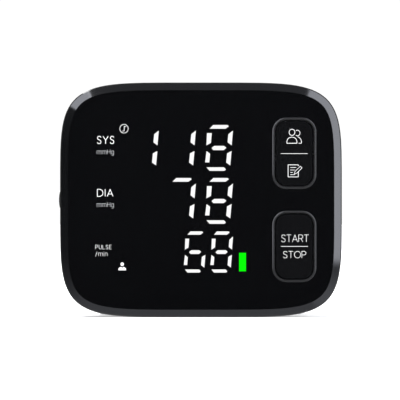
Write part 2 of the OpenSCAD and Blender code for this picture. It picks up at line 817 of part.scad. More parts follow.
module air_manifold() {
    color("#d9dbdd") on_face() translate([port_x, saddle_v, -air_depth]) difference() {
        union() {
            cube(2 * manifold_half, center = true);
            bar_x(-arm_reach, arm_reach, barb_r);
            bar_v(-arm_reach, arm_reach, barb_r);
        }
        bar_x(-arm_reach - over, arm_reach + over, air_r);
        bar_v(-arm_reach - over, arm_reach + over, air_r);
    }
}

module air_tube_x(from, to) {
    difference() {
        bar_x(from, to, tube_r);
        bar_x(from - over, to + over, barb_r + slip);
    }
}

module air_tube_v(from, to) {
    difference() {
        bar_v(from, to, tube_r);
        bar_v(from - over, to + over, barb_r + slip);
    }
}

module air_tubes() {
    reach = manifold_half + seat_gap;
    color("#e9ebec") on_face() translate([0, 0, -air_depth]) {
        translate([0, saddle_v, 0]) {
            air_tube_x(nipple_r + seat_gap, port_x - reach);
            air_tube_x(port_x + reach, sensor_x - sensor_w / 2 - seat_gap);
        }
        translate([port_x, 0, 0]) {
            air_tube_v(saddle_v + reach, valve_v - seat_gap);
            air_tube_v(pump_v + head_half + seat_gap, saddle_v - reach);
        }
    }
}

nipple_end = case_depth + saddle_to_cuff + cuff_t - curler_in;
nipple_flange_t = 0.7;
module cuff_nipple() {
    color("#d9dbdd") on_face() translate([0, saddle_v, 0]) difference() {
        union() {
            slab(air_depth - 2, nipple_end) circle(nipple_r);
            slab(nipple_end - nipple_flange_t, nipple_end) circle(2 * nipple_r);
            translate([0, 0, -air_depth]) bar_x(0, nipple_r + nipple_barb_l, barb_r);
        }
        slab(air_depth, nipple_end + over) circle(air_r + 2 * seat_gap);
        translate([0, 0, -air_depth]) bar_x(0, nipple_r + nipple_barb_l + over, air_r);
    }
}

// Pan-head screw whose thread fills the boss, with a cross recess in its head
recess_w = 0.45;
module screw(from, seat, r, head_r, head_t) {
    difference() {
        union() {
            slab(from, seat + over) circle(r);
            slab(seat, seat + head_t) circle(head_r);
        }
        for (turn = [0, 90]) rotate([0, 0, turn]) slab(seat + head_t / 2, seat + head_t + over)
            square([1.4 * head_r, recess_w], center = true);
    }
}

screw_head_r = 1.9 * screw_r;
screw_head_t = 1.3;
module case_screws() {
    color("#7d8084") on_face() for (side = [-1, 1], rise = [-1, 1]) translate([side * boss_x, rise * boss_v, 0])
        screw(boss_end - 0.8 * case_pilot, screw_seat + slip, screw_r, screw_head_r, screw_head_t);
}

module board_screws() {
    color("#b9bcc0") on_face() for (side = [-1, 1], rise = [-1, 1]) translate([side * post_x, rise * post_v, 0])
        screw(board_front - 0.8 * board_pilot, board_back + slip, board_screw_r, board_head_r, board_head_t - slip);
}

// Curved plate between the saddle and the cuff, with four hooks through the rear wall
hook_w = 5;
hook_bar_t = 1.1;
hook_lip = 0.8;
hook_gap = 0.2;
hook_x = 13;
hook_rise = 9;
plate_w = cuff_w - 8;
plate_half = 18;
saddle_land = 3;
hook_end = saddle_depth(hook_rise) - wall - hook_lip - 2 * hook_gap;
module at_hooks() {
    for (side = [-1, 1], rise = [-1, 1])
        translate([side * hook_x, saddle_v + rise * hook_rise, 0]) children();
}

module cuff_plate() {
    color("#2d2e31") on_face() difference() {
        union() {
            intersection() {
                translate([0, saddle_v, -(case_depth + saddle_r)]) rotate([0, 90, 0]) difference() {
                    cylinder(r = saddle_r - slip, h = plate_w, center = true);
                    cylinder(r = saddle_r - slip - plate_t, h = cuff_w, center = true);
                }
                translate([0, saddle_v, 0]) slab(case_depth - over, case_depth + horn_reach + saddle_land)
                    polygon(rounded(plate_w, 2 * plate_half, hook_w));
            }
            at_hooks() slab(hook_end, saddle_depth(hook_rise) + over)
                square([hook_w, hook_bar_t], center = true);
            at_hooks() slab(hook_end, hook_end + hook_lip) translate([0, hook_lip / 2])
                square([hook_w, hook_bar_t + hook_lip], center = true);
        }
        translate([0, saddle_v, 0]) slab(case_depth - 1, case_depth + saddle_land) circle(nipple_r + 2 * seat_gap);
    }
}

// Point on the oval round the wrist: the angle runs from the front over the top, the lift goes outwards
function on_arc(turn) = abs(cos(turn)) > cos(arc_switch);
function ring_point(turn, lift) =
    let (
        r = (on_arc(turn) ? front_arc_r : wrist_end_r) + lift,
        ahead = (on_arc(turn) ? -sign(cos(turn)) * arc_shift : 0) + r * cos(turn),
        above = (on_arc(turn) ? 0 : sign(sin(turn)) * end_shift) + r * sin(turn)
    )
    [cuff_y - ahead, cuff_z + above];

// Band round the wrist. The section is a function of the share of the way and gives, for each column
// across the band, its place in X and the lifts of its inner and outer face.
module band(from, to, steps, section) {
    columns = len(section(0));
    ring = 2 * columns;
    polyhedron(
        points = [
            for (i = [0:steps])
                let (share = i / steps, turn = from + (to - from) * share, spots = section(share))
                each [
                    for (k = [0:ring - 1])
                        let (
                            spot = k < columns ? spots[k] : spots[ring - 1 - k],
                            place = ring_point(turn, k < columns ? spot[1] : spot[2])
                        )
                        [spot[0], place[0], place[1]]
                ]
        ],
        faces = concat(
            [for (c = [0:columns - 2]) [c, c + 1, ring - 2 - c]],
            [for (c = [0:columns - 2]) [c, ring - 2 - c, ring - 1 - c]],
            [for (i = [0:steps - 1], k = [0:ring - 1])
                [i * ring + k, (i + 1) * ring + k, (i + 1) * ring + (k + 1) % ring]],
            [for (i = [0:steps - 1], k = [0:ring - 1])
                [i * ring + k, (i + 1) * ring + (k + 1) % ring, i * ring + (k + 1) % ring]],
            [for (c = [0:columns - 2]) [steps * ring + c, steps * ring + ring - 2 - c, steps * ring + c + 1]],
            [for (c = [0:columns - 2])
                [steps * ring + c, steps * ring + ring - 1 - c, steps * ring + ring - 2 - c]]
        )
    );
}

// Half width of a band whose ends are round over a share of its length
function round_end(half, share, start, end) =
    let (
        near_start = start > 0 ? max(0, 1 - share / start) : 0,
        near_end = end > 0 ? max(0, 1 - (1 - share) / end) : 0
    )
    half * (0.45 + 0.55 * sqrt(max(0, 1 - pow(max(near_start, near_end), 2))));

// Cushion lift: a crown between stitched channels, drawn in at the sides and at both ends
pad_columns = [-1, -0.93, -0.85, -0.76, -0.4, 0, 0.4, 0.76, 0.85, 0.93, 1];
pad_sink = [0.75, 0.3, 0.52, 0.1, 0.02, 0, 0.02, 0.1, 0.52, 0.3, 0.75];
pad_from = 62;
pad_to = -216;
pad_steps = 54;
channel_steps = [5, 27, 49];
function cross_channel(share) =
    max([for (spot = channel_steps) max(0, 1 - abs(share * pad_steps - spot))]);
function pad_section(share) = [
    for (k = [0:len(pad_columns) - 1])
        let (
            ends = max(0, 1 - min(share, 1 - share) / 0.03),
            sink = min(0.78, max(pad_sink[k], 0.4 * cross_channel(share), 0.75 * pow(ends, 2)))
        )
        [pad_columns[k] * round_end(cuff_w / 2 - pad_inset, share, 0.04, 0.04), pad_t * sink, pad_t]
];

function plain_section(half, low, high, edge) = [
    for (spot = [-1, -0.95, 0.95, 1])
        [spot * half, low + (abs(spot) == 1 ? edge : 0), high - (abs(spot) == 1 ? edge : 0)]
];

module above_rest() {
    intersection() {
        children();
        translate([-60, -100, 0]) cube([120, 200, 120]);
    }
}

pad_inset = 1.5;
curler_inset = 3;
shell_edge = 0.2;
cloth_edge = 0.25;
flap_edge = 0.35;
nipple_hole_r = 2 * nipple_r + 2 * seat_gap;
module cuff_pad() {
    color("#3a3b3f") band(pad_from, pad_to, pad_steps, function(share) pad_section(share));
}

module cuff_curler() {
    color("#55585c") difference() {
        band(pad_from - 3, pad_to + 3, 56, function(share) plain_section(cuff_w / 2 - curler_inset,
            curler_in, curler_in + curler_t, shell_edge));
        on_face() translate([0, saddle_v, 0]) slab(case_depth, nipple_end + 2) circle(nipple_hole_r);
    }
}

module cuff_cover() {
    color("#1b1c1f") above_rest() difference() {
        band(pad_from, pad_to, 60, function(share) plain_section(round_end(cuff_w / 2, share, 0.04, 0.04),
            cover_in, cuff_t, cloth_edge));
        on_face() translate([0, saddle_v, 0]) slab(case_depth, nipple_end - over) circle(nipple_r + soft_gap);
    }
}

// The flap starts low at its sewn anchor, and rises over the hook patch
flap_from = 50;
flap_to = 232;
flap_half = cuff_w / 2 - 4;
root_in = cuff_t + soft_gap;
root_share = 0.2;
function flap_low(share) = root_in + (flap_in - root_in) * (1 - pow(max(0, 1 - share / root_share), 2));

anchor_from = 39;
anchor_to = flap_from - 0.6;
module flap_anchor() {
    color("#202125") band(anchor_from, anchor_to, 4, function(share) plain_section(flap_half,
        cuff_t + layer_gap, root_in + flap_t, cloth_edge));
}

module cuff_flap() {
    color("#202125") band(flap_from, flap_to, 44, function(share) plain_section(
        round_end(flap_half, share, 0, 0.07), flap_low(share), flap_low(share) + flap_t, flap_edge));
}

hook_from = 158;
hook_to = 224;
hook_inset = 5;

module hook_patch() {
    color("#121315") band(hook_from, hook_to, 16, function(share) plain_section(flap_half - hook_inset,
        hook_in, flap_in - slip, seat_gap));
}

front_panel();
front_case();
rear_case();
battery_cover();
key_ring(0);  // memory_key_ring
key_ring(1);  // start_key_ring
memory_key();
start_key();
key_mat(0, [-rocker_arm, rocker_arm]);  // memory_key_mat
key_mat(1, [0]);  // start_key_mat
circuit_board();
display_housing();
display_segments();
processor_chip();
buzzer();
pressure_sensor();
pump_motor();
pump_head();
pump_shaft();
valve_body();
valve_plunger();
air_manifold();
air_tubes();
cuff_nipple();
battery_cell(cell_outer_x, 1);  // battery_cell_outer
battery_cell(cell_inner_x, -1);  // battery_cell_inner
battery_springs();
battery_plates();
case_screws();
board_screws();
cuff_plate();
cuff_pad();
cuff_curler();
cuff_cover();
flap_anchor();
cuff_flap();
hook_patch();
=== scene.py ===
# Wrist blood pressure monitor: finishes, display, printed signs, cuff fabric, studio and camera.
# Lengths are metres. X runs right across the face, Y from the face to the cuff, Z up.
import math
from bisect import bisect_right

import bmesh
import bpy
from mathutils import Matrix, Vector, noise


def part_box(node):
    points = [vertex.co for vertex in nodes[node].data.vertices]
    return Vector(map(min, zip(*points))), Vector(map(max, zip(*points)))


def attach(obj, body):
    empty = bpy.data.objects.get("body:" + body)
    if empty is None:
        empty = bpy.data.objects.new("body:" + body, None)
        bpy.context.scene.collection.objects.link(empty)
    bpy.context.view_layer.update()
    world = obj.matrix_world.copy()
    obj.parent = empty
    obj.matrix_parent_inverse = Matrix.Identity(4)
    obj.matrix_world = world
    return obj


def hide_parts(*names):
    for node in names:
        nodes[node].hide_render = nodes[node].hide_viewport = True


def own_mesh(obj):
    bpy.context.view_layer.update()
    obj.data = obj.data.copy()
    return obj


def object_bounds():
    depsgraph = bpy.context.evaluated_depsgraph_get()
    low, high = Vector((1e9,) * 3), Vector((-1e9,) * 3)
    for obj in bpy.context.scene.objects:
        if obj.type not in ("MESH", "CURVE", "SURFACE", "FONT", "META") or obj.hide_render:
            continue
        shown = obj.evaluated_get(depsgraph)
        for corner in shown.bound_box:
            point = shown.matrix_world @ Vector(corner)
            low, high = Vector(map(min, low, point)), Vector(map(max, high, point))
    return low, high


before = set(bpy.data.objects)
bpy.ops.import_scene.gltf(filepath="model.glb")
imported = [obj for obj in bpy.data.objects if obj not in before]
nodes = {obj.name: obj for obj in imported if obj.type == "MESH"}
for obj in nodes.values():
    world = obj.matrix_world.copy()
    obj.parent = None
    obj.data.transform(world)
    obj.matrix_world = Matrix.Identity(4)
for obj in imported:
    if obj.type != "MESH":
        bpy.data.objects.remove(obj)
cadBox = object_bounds()
print("frame loaded:", len(nodes), "nodes")


class Wire:
    # a node's socket that Python's operators work on
    def __init__(self, tree, socket):
        self.tree, self.socket = tree, socket

    def work(self, kind, first, second=0.0):
        made = self.tree.nodes.new("ShaderNodeMath")
        made.operation = kind
        for place, value in zip(made.inputs, (first, second)):
            if isinstance(value, Wire):
                self.tree.links.new(value.socket, place)
            else:
                place.default_value = value
        return Wire(self.tree, made.outputs[0])

    def __add__(self, other):
        return self.work("ADD", self, other)

    def __radd__(self, other):
        return self.work("ADD", other, self)

    def __sub__(self, other):
        return self.work("SUBTRACT", self, other)

    def __rsub__(self, other):
        return self.work("SUBTRACT", other, self)

    def __mul__(self, other):
        return self.work("MULTIPLY", self, other)

    def __rmul__(self, other):
        return self.work("MULTIPLY", other, self)

    def __truediv__(self, other):
        return self.work("DIVIDE", self, other)

    def __pow__(self, other):
        return self.work("POWER", self, other)

    def __neg__(self):
        return self.work("MULTIPLY", self, -1.0)

    def sin(self):
        return self.work("SINE", self)

    def size(self):
        return self.work("ABSOLUTE", self)

    def most(self, other):
        return self.work("MAXIMUM", self, other)

    def clamped(self):
        return self.work("MINIMUM", self.most(0.0), 1.0)

    def angleFrom(self, other):
        return self.work("ARCTAN2", self, other)


class Graph:
    # one node tree; every node but the operators' own comes from its node method
    def __init__(self, tree):
        self.tree = tree

    def node(self, kind, settings=None, values=None):
        made = self.tree.nodes.new(kind)
        for name, value in (settings or {}).items():
            if name == "stops":
                stops = made.color_ramp.elements
                stops.remove(stops[-1])
                stops[0].position, stops[0].color = value[0]
                for position, colour in value[1:]:
                    stops.new(position).color = colour
            else:
                setattr(made, name, value)
        for name, value in (values or {}).items():
            if isinstance(value, Wire):
                self.tree.links.new(value.socket, made.inputs[name])
            else:
                made.inputs[name].default_value = value
        return {o.name: Wire(self.tree, o) for o in made.outputs if o.enabled}

    def axes(self, place):
        parts = self.node("ShaderNodeSeparateXYZ", values={"Vector": place})
        return parts["X"], parts["Y"], parts["Z"]


class Finish(Graph):
    # one material and the nodes that feed its Principled shader
    def __init__(self, name, **constants):
        self.material = bpy.data.materials.new(name)
        self.material.use_nodes = True
        super().__init__(self.material.node_tree)
        self.shader = self.tree.nodes["Principled BSDF"]
        for socket, value in constants.items():
            self.shader.inputs[socket.replace("_", " ")].default_value = value
        self.place = self.node("ShaderNodeTexCoord")["Object"]

    def grain(self, size, detail=2.0, roughness=0.5):
        # noise whose lumps are about that many metres across
        return self.node("ShaderNodeTexNoise", values={
            "Vector": self.place, "Scale": 1 / size, "Detail": detail, "Roughness": roughness})["Fac"]

    def blendColour(self, factor, dark, light):
        first, second = (c if isinstance(c, Wire) else (*c, 1) for c in (dark, light))
        return self.node("ShaderNodeMix", {"data_type": "RGBA"},
                         {0: factor, 6: first, 7: second})["Result"]

    def feed(self, socket, value):
        self.tree.links.new(value.socket, self.shader.inputs[socket])

    def relief(self, height, distance, strength=1.0):
        bump = self.node("ShaderNodeBump", values={
            "Height": height, "Distance": distance, "Strength": strength})
        self.feed("Normal", bump["Normal"])


def dimmed(colour, share):
    return tuple(share * c for c in colour)


def plasticFinish(name, dark, light, roughness, spread, texture, depth):
    # moulded plastic: slow colour drift, a texture of its own size, fine scuffs in the roughness
    f = Finish(name)
    drift, scuffs = f.grain(0.02, 3.0), f.grain(0.004, 6.0, 0.7)
    f.feed("Base Color", f.blendColour(drift, dark, light))
    f.feed("Roughness", roughness + spread * (scuffs - 0.5))
    f.relief(f.grain(texture, 1.5), depth)
    return f.material


def metalFinish(name, colour, roughness, along):
    # plated or brushed metal with fine lines along one axis
    f = Finish(name, Metallic=1.0)
    parts = {axis: part * (40.0 if axis == along else 2000.0)
             for axis, part in zip("XYZ", f.axes(f.place))}
    lines = f.node("ShaderNodeCombineXYZ", values=parts)["Vector"]
    streaks = f.node("ShaderNodeTexNoise", values={
        "Vector": lines, "Scale": 1.0, "Detail": 3.0})["Fac"]
    f.feed("Base Color", f.blendColour(streaks, dimmed(colour, 0.82), colour))
    f.feed("Roughness", roughness + 0.2 * (streaks - 0.5))
    f.relief(streaks, 0.00002, 0.6)
    return f.material


# the closed cuff: lifts of its layers are counted outwards from the wrist opening, turns in degrees
cuff = {
    "centreY": 0.01135, "centreZ": 0.0319, "depth": 0.041, "height": 0.054, "endRadius": 0.017,
    "weaveRadius": 0.027, "padThickness": 0.0032, "coverIn": 0.0045, "thickness": 0.0054,
    "hookIn": 0.0057, "flapIn": 0.00665, "flapThickness": 0.0016, "width": 0.062,
    "from": 62, "to": -216, "flapFrom": 50, "flapTo": 232, "rest": 0.0002,
}


def fabricFinish(name, dark, light, pitch, depth, fuzz, sheen, roughness):
    # woven cloth on the curved cuff: threads run round the wrist and across it
    f = Finish(name, Sheen_Weight=sheen, Sheen_Roughness=0.45, Specular_IOR_Level=0.3)
    x, y, z = f.axes(f.place)
    turn = (z - cuff["centreZ"]).angleFrom(y - cuff["centreY"])
    across = (x * (math.pi / pitch)).sin()
    around = (turn * (cuff["weaveRadius"] * math.pi / pitch)).sin()
    threads = (across * around).size() ** 0.5
    hairs, lumps = f.grain(0.00035, 4.0, 0.65), f.grain(0.003, 3.0)
    shade = 0.45 * threads + 0.35 * hairs + 0.5 * (lumps - 0.4)
    f.feed("Base Color", f.blendColour(shade.most(0.0), dark, light))
    f.feed("Roughness", roughness + 0.15 * (hairs - 0.5))
    f.relief(threads * (1 - fuzz) + hairs * fuzz + 0.6 * lumps, depth)
    return f.material


cell = {
    "sleeve": ((0.02, 0.07, 0.17), (0.026, 0.085, 0.2)), "collar": (0.012, 0.013, 0.015),
    "line": (0.5, 0.51, 0.52), "steel": (0.6, 0.61, 0.62), "collarLength": 0.0085,
    "lineWidth": 0.0007, "bareRadius": 0.0046, "sharpness": 8000.0,
}


def cellFinish(name, node, up):
    # printed sleeve, with a dark collar at the nub's end and a thin line below it, and bare ends
    low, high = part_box(node)
    f = Finish(name)
    x, y, z = f.axes(f.place)
    x, y = x - (low.x + high.x) / 2, y - (low.y + high.y) / 2
    fromNub = high.z - z if up else z - low.z

    def inside(distance):
        return (distance * cell["sharpness"]).clamped()

    bare = inside(cell["bareRadius"] - (x * x + y * y) ** 0.5)
    collar = inside(cell["collarLength"] - fromNub)
    line = inside(cell["lineWidth"] / 2 - (fromNub - cell["collarLength"]).size())
    scuffs = f.grain(0.003, 6.0, 0.7)
    colour = f.blendColour(f.grain(0.01, 3.0), *cell["sleeve"])
    for share, own in ((collar, cell["collar"]), (line, cell["line"]), (bare, cell["steel"])):
        colour = f.blendColour(share, colour, own)
    f.feed("Base Color", colour)
    f.feed("Metallic", bare.most(0.6 * line))
    f.feed("Roughness", 0.3 + 0.14 * (scuffs - 0.5))
    f.relief(scuffs, 0.00001)
    return f.material


def glowFinish(name, colour):
    # light bar seen through the face plate, a little uneven over its length
    f = Finish(name, Roughness=0.3, Specular_IOR_Level=0.1, Emission_Strength=1.0)
    f.feed("Base Color", f.blendColour(f.grain(0.002), dimmed(colour, 0.01), dimmed(colour, 0.03)))
    f.feed("Emission Color", f.blendColour(f.grain(0.004, 1.0), dimmed(colour, 0.96), colour))
    return f.material


def glowingPrintFinish(name, colour, strength):
    # screen print with a trace of ink texture, lifted by painted light: it glows, though it is no lamp, so
    # that it reads as in the photograph
    f = Finish(name, Roughness=0.5, Specular_IOR_Level=0.1, Emission_Strength=strength)
    ink = f.grain(0.0006, 3.0)
    f.feed("Base Color", f.blendColour(ink, dimmed(colour, 0.25), dimmed(colour, 0.32)))
    f.feed("Emission Color", f.blendColour(ink, dimmed(colour, 0.93), colour))
    return f.material


# name, dark and light colour, roughness and its spread, size and depth of the texture
plastics = [
    ("faceGloss", (0.002, 0.0021, 0.0025), (0.0025, 0.0026, 0.003), 0.04, 0.02, 0.03, 0.000005),
    ("rimGloss", (0.0026, 0.0027, 0.003), (0.0034, 0.0036, 0.0039), 0.09, 0.03, 0.02, 0.000005),
    ("rearSatin", (0.009, 0.0092, 0.0098), (0.013, 0.0132, 0.014), 0.36, 0.1, 0.0003, 0.00008),
    ("ringSatin", (0.016, 0.0164, 0.0172), (0.021, 0.0214, 0.0222), 0.16, 0.04, 0.0006, 0.000004),
    ("keySatin", (0.0032, 0.0033, 0.0038), (0.004, 0.0042, 0.0047), 0.14, 0.03, 0.0003, 0.000003),
    ("silicone", (0.34, 0.35, 0.36), (0.42, 0.43, 0.44), 0.6, 0.1, 0.0005, 0.00002),
    ("solderMask", (0.008, 0.07, 0.03), (0.014, 0.1, 0.045), 0.35, 0.1, 0.0012, 0.00002),
    ("blackMoulding", (0.012, 0.012, 0.013), (0.02, 0.02, 0.021), 0.5, 0.1, 0.0004, 0.00003),
    ("lightBars", (0.75, 0.77, 0.8), (0.85, 0.87, 0.9), 0.4, 0.1, 0.001, 0.00001),
    ("chipPackage", (0.018, 0.018, 0.019), (0.03, 0.03, 0.031), 0.55, 0.1, 0.0002, 0.00003),
    ("whiteMoulding", (0.6, 0.59, 0.56), (0.7, 0.69, 0.66), 0.45, 0.1, 0.0006, 0.00002),
    ("curlPlastic", (0.016, 0.016, 0.018), (0.024, 0.024, 0.026), 0.42, 0.1, 0.0005, 0.00003),
]
# name, colour, roughness, axis that the fine lines run along
metals = [
    ("steelCan", (0.6, 0.61, 0.62), 0.35, "X"), ("shaftSteel", (0.52, 0.53, 0.54), 0.25, "X"),
    ("contactNickel", (0.72, 0.73, 0.74), 0.2, "Z"), ("screwZinc", (0.42, 0.43, 0.44), 0.35, "Z"),
]
# name, dark and light colour, thread pitch, depth, share of fuzz, sheen, roughness
fabrics = [
    ("padCloth", (0.012, 0.0124, 0.0136), (0.05, 0.051, 0.056), 0.0011, 0.00014, 0.55, 0.06, 0.85),
    ("cuffCloth", (0.004, 0.0042, 0.0048), (0.024, 0.0246, 0.027), 0.001, 0.0002, 0.3, 0.05, 0.85),
    ("loopCloth", (0.0035, 0.0037, 0.0042), (0.026, 0.0266, 0.029), 0.0009, 0.00028, 0.75, 0.12, 0.85),
    ("bindingTape", (0.003, 0.0032, 0.0038), (0.02, 0.0205, 0.022), 0.0008, 0.00012, 0.2, 0.04, 0.85),
    ("hookCloth", (0.003, 0.0032, 0.004), (0.03, 0.0305, 0.031), 0.0014, 0.0004, 0.15, 0.03, 0.5),
    ("thread", (0.035, 0.0355, 0.037), (0.1, 0.101, 0.106), 0.0004, 0.00005, 0.5, 0.1, 0.85),
]
# name, node, whether its nub points up
cells = [("cellNubUp", "battery_cell_outer", True), ("cellNubDown", "battery_cell_inner", False)]
# name, colour, and for each print the strength of its painted glow
glows = [("litWhite", (1.0, 1.0, 1.0)), ("litGreen", (0.0, 1.0, 0.0))]
glowingPrints = [("printWhite", (1.0, 1.0, 1.0), 0.92), ("printUnit", (0.9, 0.91, 0.94), 0.7)]
finishes = {}
for makeFinish, rows in ((plasticFinish, plastics), (metalFinish, metals), (fabricFinish, fabrics),
                         (cellFinish, cells), (glowFinish, glows), (glowingPrintFinish, glowingPrints)):
    for row in rows:
        finishes[row[0]] = makeFinish(*row)

# the nodes that wear each finish
worn = {
    "faceGloss": ["front_panel"], "rimGloss": ["front_case"],
    "rearSatin": ["rear_case", "battery_cover"], "ringSatin": ["memory_key_ring", "start_key_ring"],
    "keySatin": ["memory_key", "start_key"],
    "silicone": ["memory_key_mat", "start_key_mat", "air_tubes"],
    "solderMask": ["circuit_board"], "blackMoulding": ["display_housing"],
    "lightBars": ["display_segments"], "chipPackage": ["processor_chip", "buzzer"],
    "whiteMoulding": ["pressure_sensor", "pump_head", "air_manifold", "cuff_nipple"],
    "steelCan": ["pump_motor", "valve_body"], "shaftSteel": ["pump_shaft", "valve_plunger"],
    "cellNubUp": ["battery_cell_outer"], "cellNubDown": ["battery_cell_inner"],
    "contactNickel": ["battery_springs", "battery_plates"],
    "screwZinc": ["case_screws", "board_screws"], "curlPlastic": ["cuff_plate", "cuff_curler"],
    "padCloth": ["cuff_pad"], "cuffCloth": ["cuff_cover", "flap_anchor"],
    "loopCloth": ["cuff_flap"], "hookCloth": ["hook_patch"],
}


def smoothGroup(mergeDistance, slightAngle):
    # joins the CAD faces' corners and shades them smooth where they meet at a slight angle
    group = bpy.data.node_groups.new("smoothShading", "GeometryNodeTree")
    for way in ("INPUT", "OUTPUT"):
        group.interface.new_socket("Geometry", in_out=way, socket_type="NodeSocketGeometry")
    g = Graph(group)
    shape = g.node("NodeGroupInput")["Geometry"]
    for kind, values in (("GeometryNodeRemoveAttribute", {"Name": "custom_normal"}),
                         ("GeometryNodeMergeByDistance", {"Distance": mergeDistance})):
        shape = g.node(kind, values={"Geometry": shape, **values})["Geometry"]
    angle = g.node("GeometryNodeInputMeshEdgeAngle")["Unsigned Angle"]
    slight = g.node("FunctionNodeCompare", {"data_type": "FLOAT", "operation": "LESS_THAN"},
                    {"A": angle, "B": math.radians(slightAngle)})["Result"]
    for domain, smooth in (("FACE", True), ("EDGE", slight)):
        shape = g.node("GeometryNodeSetShadeSmooth", {"domain": domain},
                       {"Geometry": shape, "Shade Smooth": smooth})["Geometry"]
    g.node("NodeGroupOutput", values={0: shape})
    return group


smoothing = smoothGroup(0.000002, 24)
for finish, names in worn.items():
    for name in names:
        part = nodes[name]
        part.data.materials.clear()
        part.data.materials.append(finishes[finish])
        part.modifiers.new("smoothShading", "NODES").node_group = smoothing
print("finishes set on", sum(len(names) for names in worn.values()), "nodes")

# the silicone domes under the keys each get a mesh of their own; the keys' joints and how far each dome
# would give are listed but not read
for name, joint, give in (("start_key_mat", "start_key_press", 0.0005),
                          ("memory_key_mat", "memory_key_rock", 0.0003)):
    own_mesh(nodes[name])

# pieces on the face are placed by the photograph's pixels
face = {
    "photo": 400, "middleX": 200.95, "middleY": 199.93, "pixel": 0.00029777, "height": 0.035,
    "y": cadBox[0].y + 0.00025, "keyTop": 0.0001, "proud": 0.00003, "sunk": 0.00002,
}


def spot(px, py, out=0.0):
    # place on the face of a pixel of the photograph, lifted out of the face
    return Vector(((px - face["middleX"]) * face["pixel"], face["y"] - out,
                   face["height"] + (face["middleY"] - py) * face["pixel"]))


def inScene(name, data):
    made = bpy.data.objects.new(name, data)
    bpy.context.scene.collection.objects.link(made)
    return made


def addObject(name, mesh, finish, body):
    made = inScene(name, mesh)
    mesh.materials.append(finishes[finish])
    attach(made, body)
    return made


def shapedMesh(name, work, smooth=True):
    # mesh of what was built, its faces turned outwards
    bmesh.ops.recalc_face_normals(work, faces=work.faces)
    mesh = bpy.data.meshes.new(name)
    work.to_mesh(mesh)
    work.free()
    for polygon in mesh.polygons:
        polygon.use_smooth = smooth
    return mesh


def plates(name, outlines, finish, body):
    # thin raised shapes on the face or on a key, each a prism on a pixel outline
    base = 0.0 if body == "monitor" else face["keyTop"]
    work = bmesh.new()
    for outline in outlines:
        back = [work.verts.new(spot(x, y, base - face["sunk"])) for x, y in outline]
        front = [work.verts.new(spot(x, y, base + face["proud"])) for x, y in outline]
        work.faces.new(front)
        work.faces.new(back[::-1])
        for i in range(len(outline)):
            j = (i + 1) % len(outline)
            work.faces.new((back[i], back[j], front[j], front[i]))
    addObject(name, shapedMesh(name, work, False), finish, body)


# seven bars of an 8, each as pixel corners from the digit's upper left
barShapes = {
    "top": [(4.1, 4.3), (8.3, 0.0), (22.9, 0.0), (24.5, 1.6), (20.8, 4.3)],
    "upperLeft": [(1.9, 8.1), (7.3, 8.1), (6.4, 18.4), (1.3, 21.1)],
    "upperRight": [(23.3, 9.4), (28.5, 5.2), (27.1, 21.2), (22.5, 17.7)],
    "middle": [(6.3, 23.3), (9.3, 20.9), (19.4, 20.9), (22.0, 23.1), (19.1, 25.7), (8.4, 25.7)],
    "lowerLeft": [(1.5, 25.9), (5.6, 28.8), (4.8, 38.0), (0.0, 38.0)],
    "lowerRight": [(22.0, 28.5), (27.1, 25.8), (25.7, 41.2), (21.1, 38.0)],
    "bottom": [(1.1, 42.3), (19.2, 42.3), (21.5, 44.6), (19.8, 46.4), (4.6, 46.4)],
}
digitBars = {
    "1": ["upperRight", "lowerRight"],
    "6": ["top", "upperLeft", "middle", "lowerLeft", "lowerRight", "bottom"],
    "7": ["top", "upperRight", "lowerRight"],
    "8": list(barShapes),
}
# each row: name, digits, left and top of its last digit, pitch, shares of width and height
display = {
    "rows": [
        ("upperReading", "118", 204.8, 124.7, 37.1, 1.0, 1.0),
        ("middleReading", "78", 204.8, 177.7, 37.1, 1.0, 1.0),
        ("lowerReading", "68", 210.0, 231.1, 26.5, 0.82, 0.9),
    ],
    "slim": 0.3,
    "greenBar": [(239.1, 252.8), (246.0, 252.8), (246.0, 271.4), (239.1, 271.4)],
}


def drawnIn(outline, inset):
    # a convex outline's corners once its sides have moved inwards
    lines = []
    for (ax, ay), (bx, by) in zip(outline, outline[1:] + outline[:1]):
        length = math.hypot(bx - ax, by - ay)
        nx, ny = (by - ay) / length, (ax - bx) / length
        lines.append((nx, ny, nx * ax + ny * ay))
    cx, cy = (sum(p[k] for p in outline) / len(outline) for k in (0, 1))
    lines = [(nx, ny, c - inset if nx * cx + ny * cy < c else c + inset) for nx, ny, c in lines]
    corners = []
    for (a, b, c), (d, e, f) in zip(lines[-1:] + lines[:-1], lines):
        turn = a * e - b * d
        corners.append(((c * e - b * f) / turn, (a * f - c * d) / turn))
    return corners


for name, digits, lastLeft, top, pitch, wide, tall in display["rows"]:
    outlines = []
    for step, digit in enumerate(reversed(digits)):
        left = lastLeft - step * pitch
        for bar in digitBars[digit]:
            corners = [(left + wide * x, top + tall * y) for x, y in barShapes[bar]]
            outlines.append(drawnIn(corners, display["slim"]))
    plates(name, outlines, "litWhite", "monitor")
plates("levelBar", [display["greenBar"]], "litGreen", "monitor")
print("display lit")


def stroke(points, width, closed=False, overlap=0.22):
    # outlines of one line of even width through pixel points, a quadrilateral for each stretch
    shapes = []
    count = len(points)
    for i in range(count if closed else count - 1):
        a, b = Vector(points[i]), Vector(points[(i + 1) % count])
        along = (b - a).normalized()
        side = Vector((-along.y, along.x)) * width / 2
        reach = along * width * overlap if closed or 0 < i < count - 2 else Vector((0, 0))
        shapes.append([a - reach + side, b + reach + side, b + reach - side, a - reach - side])
    return shapes


def arc(cx, cy, rx, ry, fromTurn, toTurn, steps):
    turns = [math.radians(fromTurn + (toTurn - fromTurn) * i / steps) for i in range(steps + 1)]
    return [(cx + rx * math.cos(turn), cy - ry * math.sin(turn)) for turn in turns]


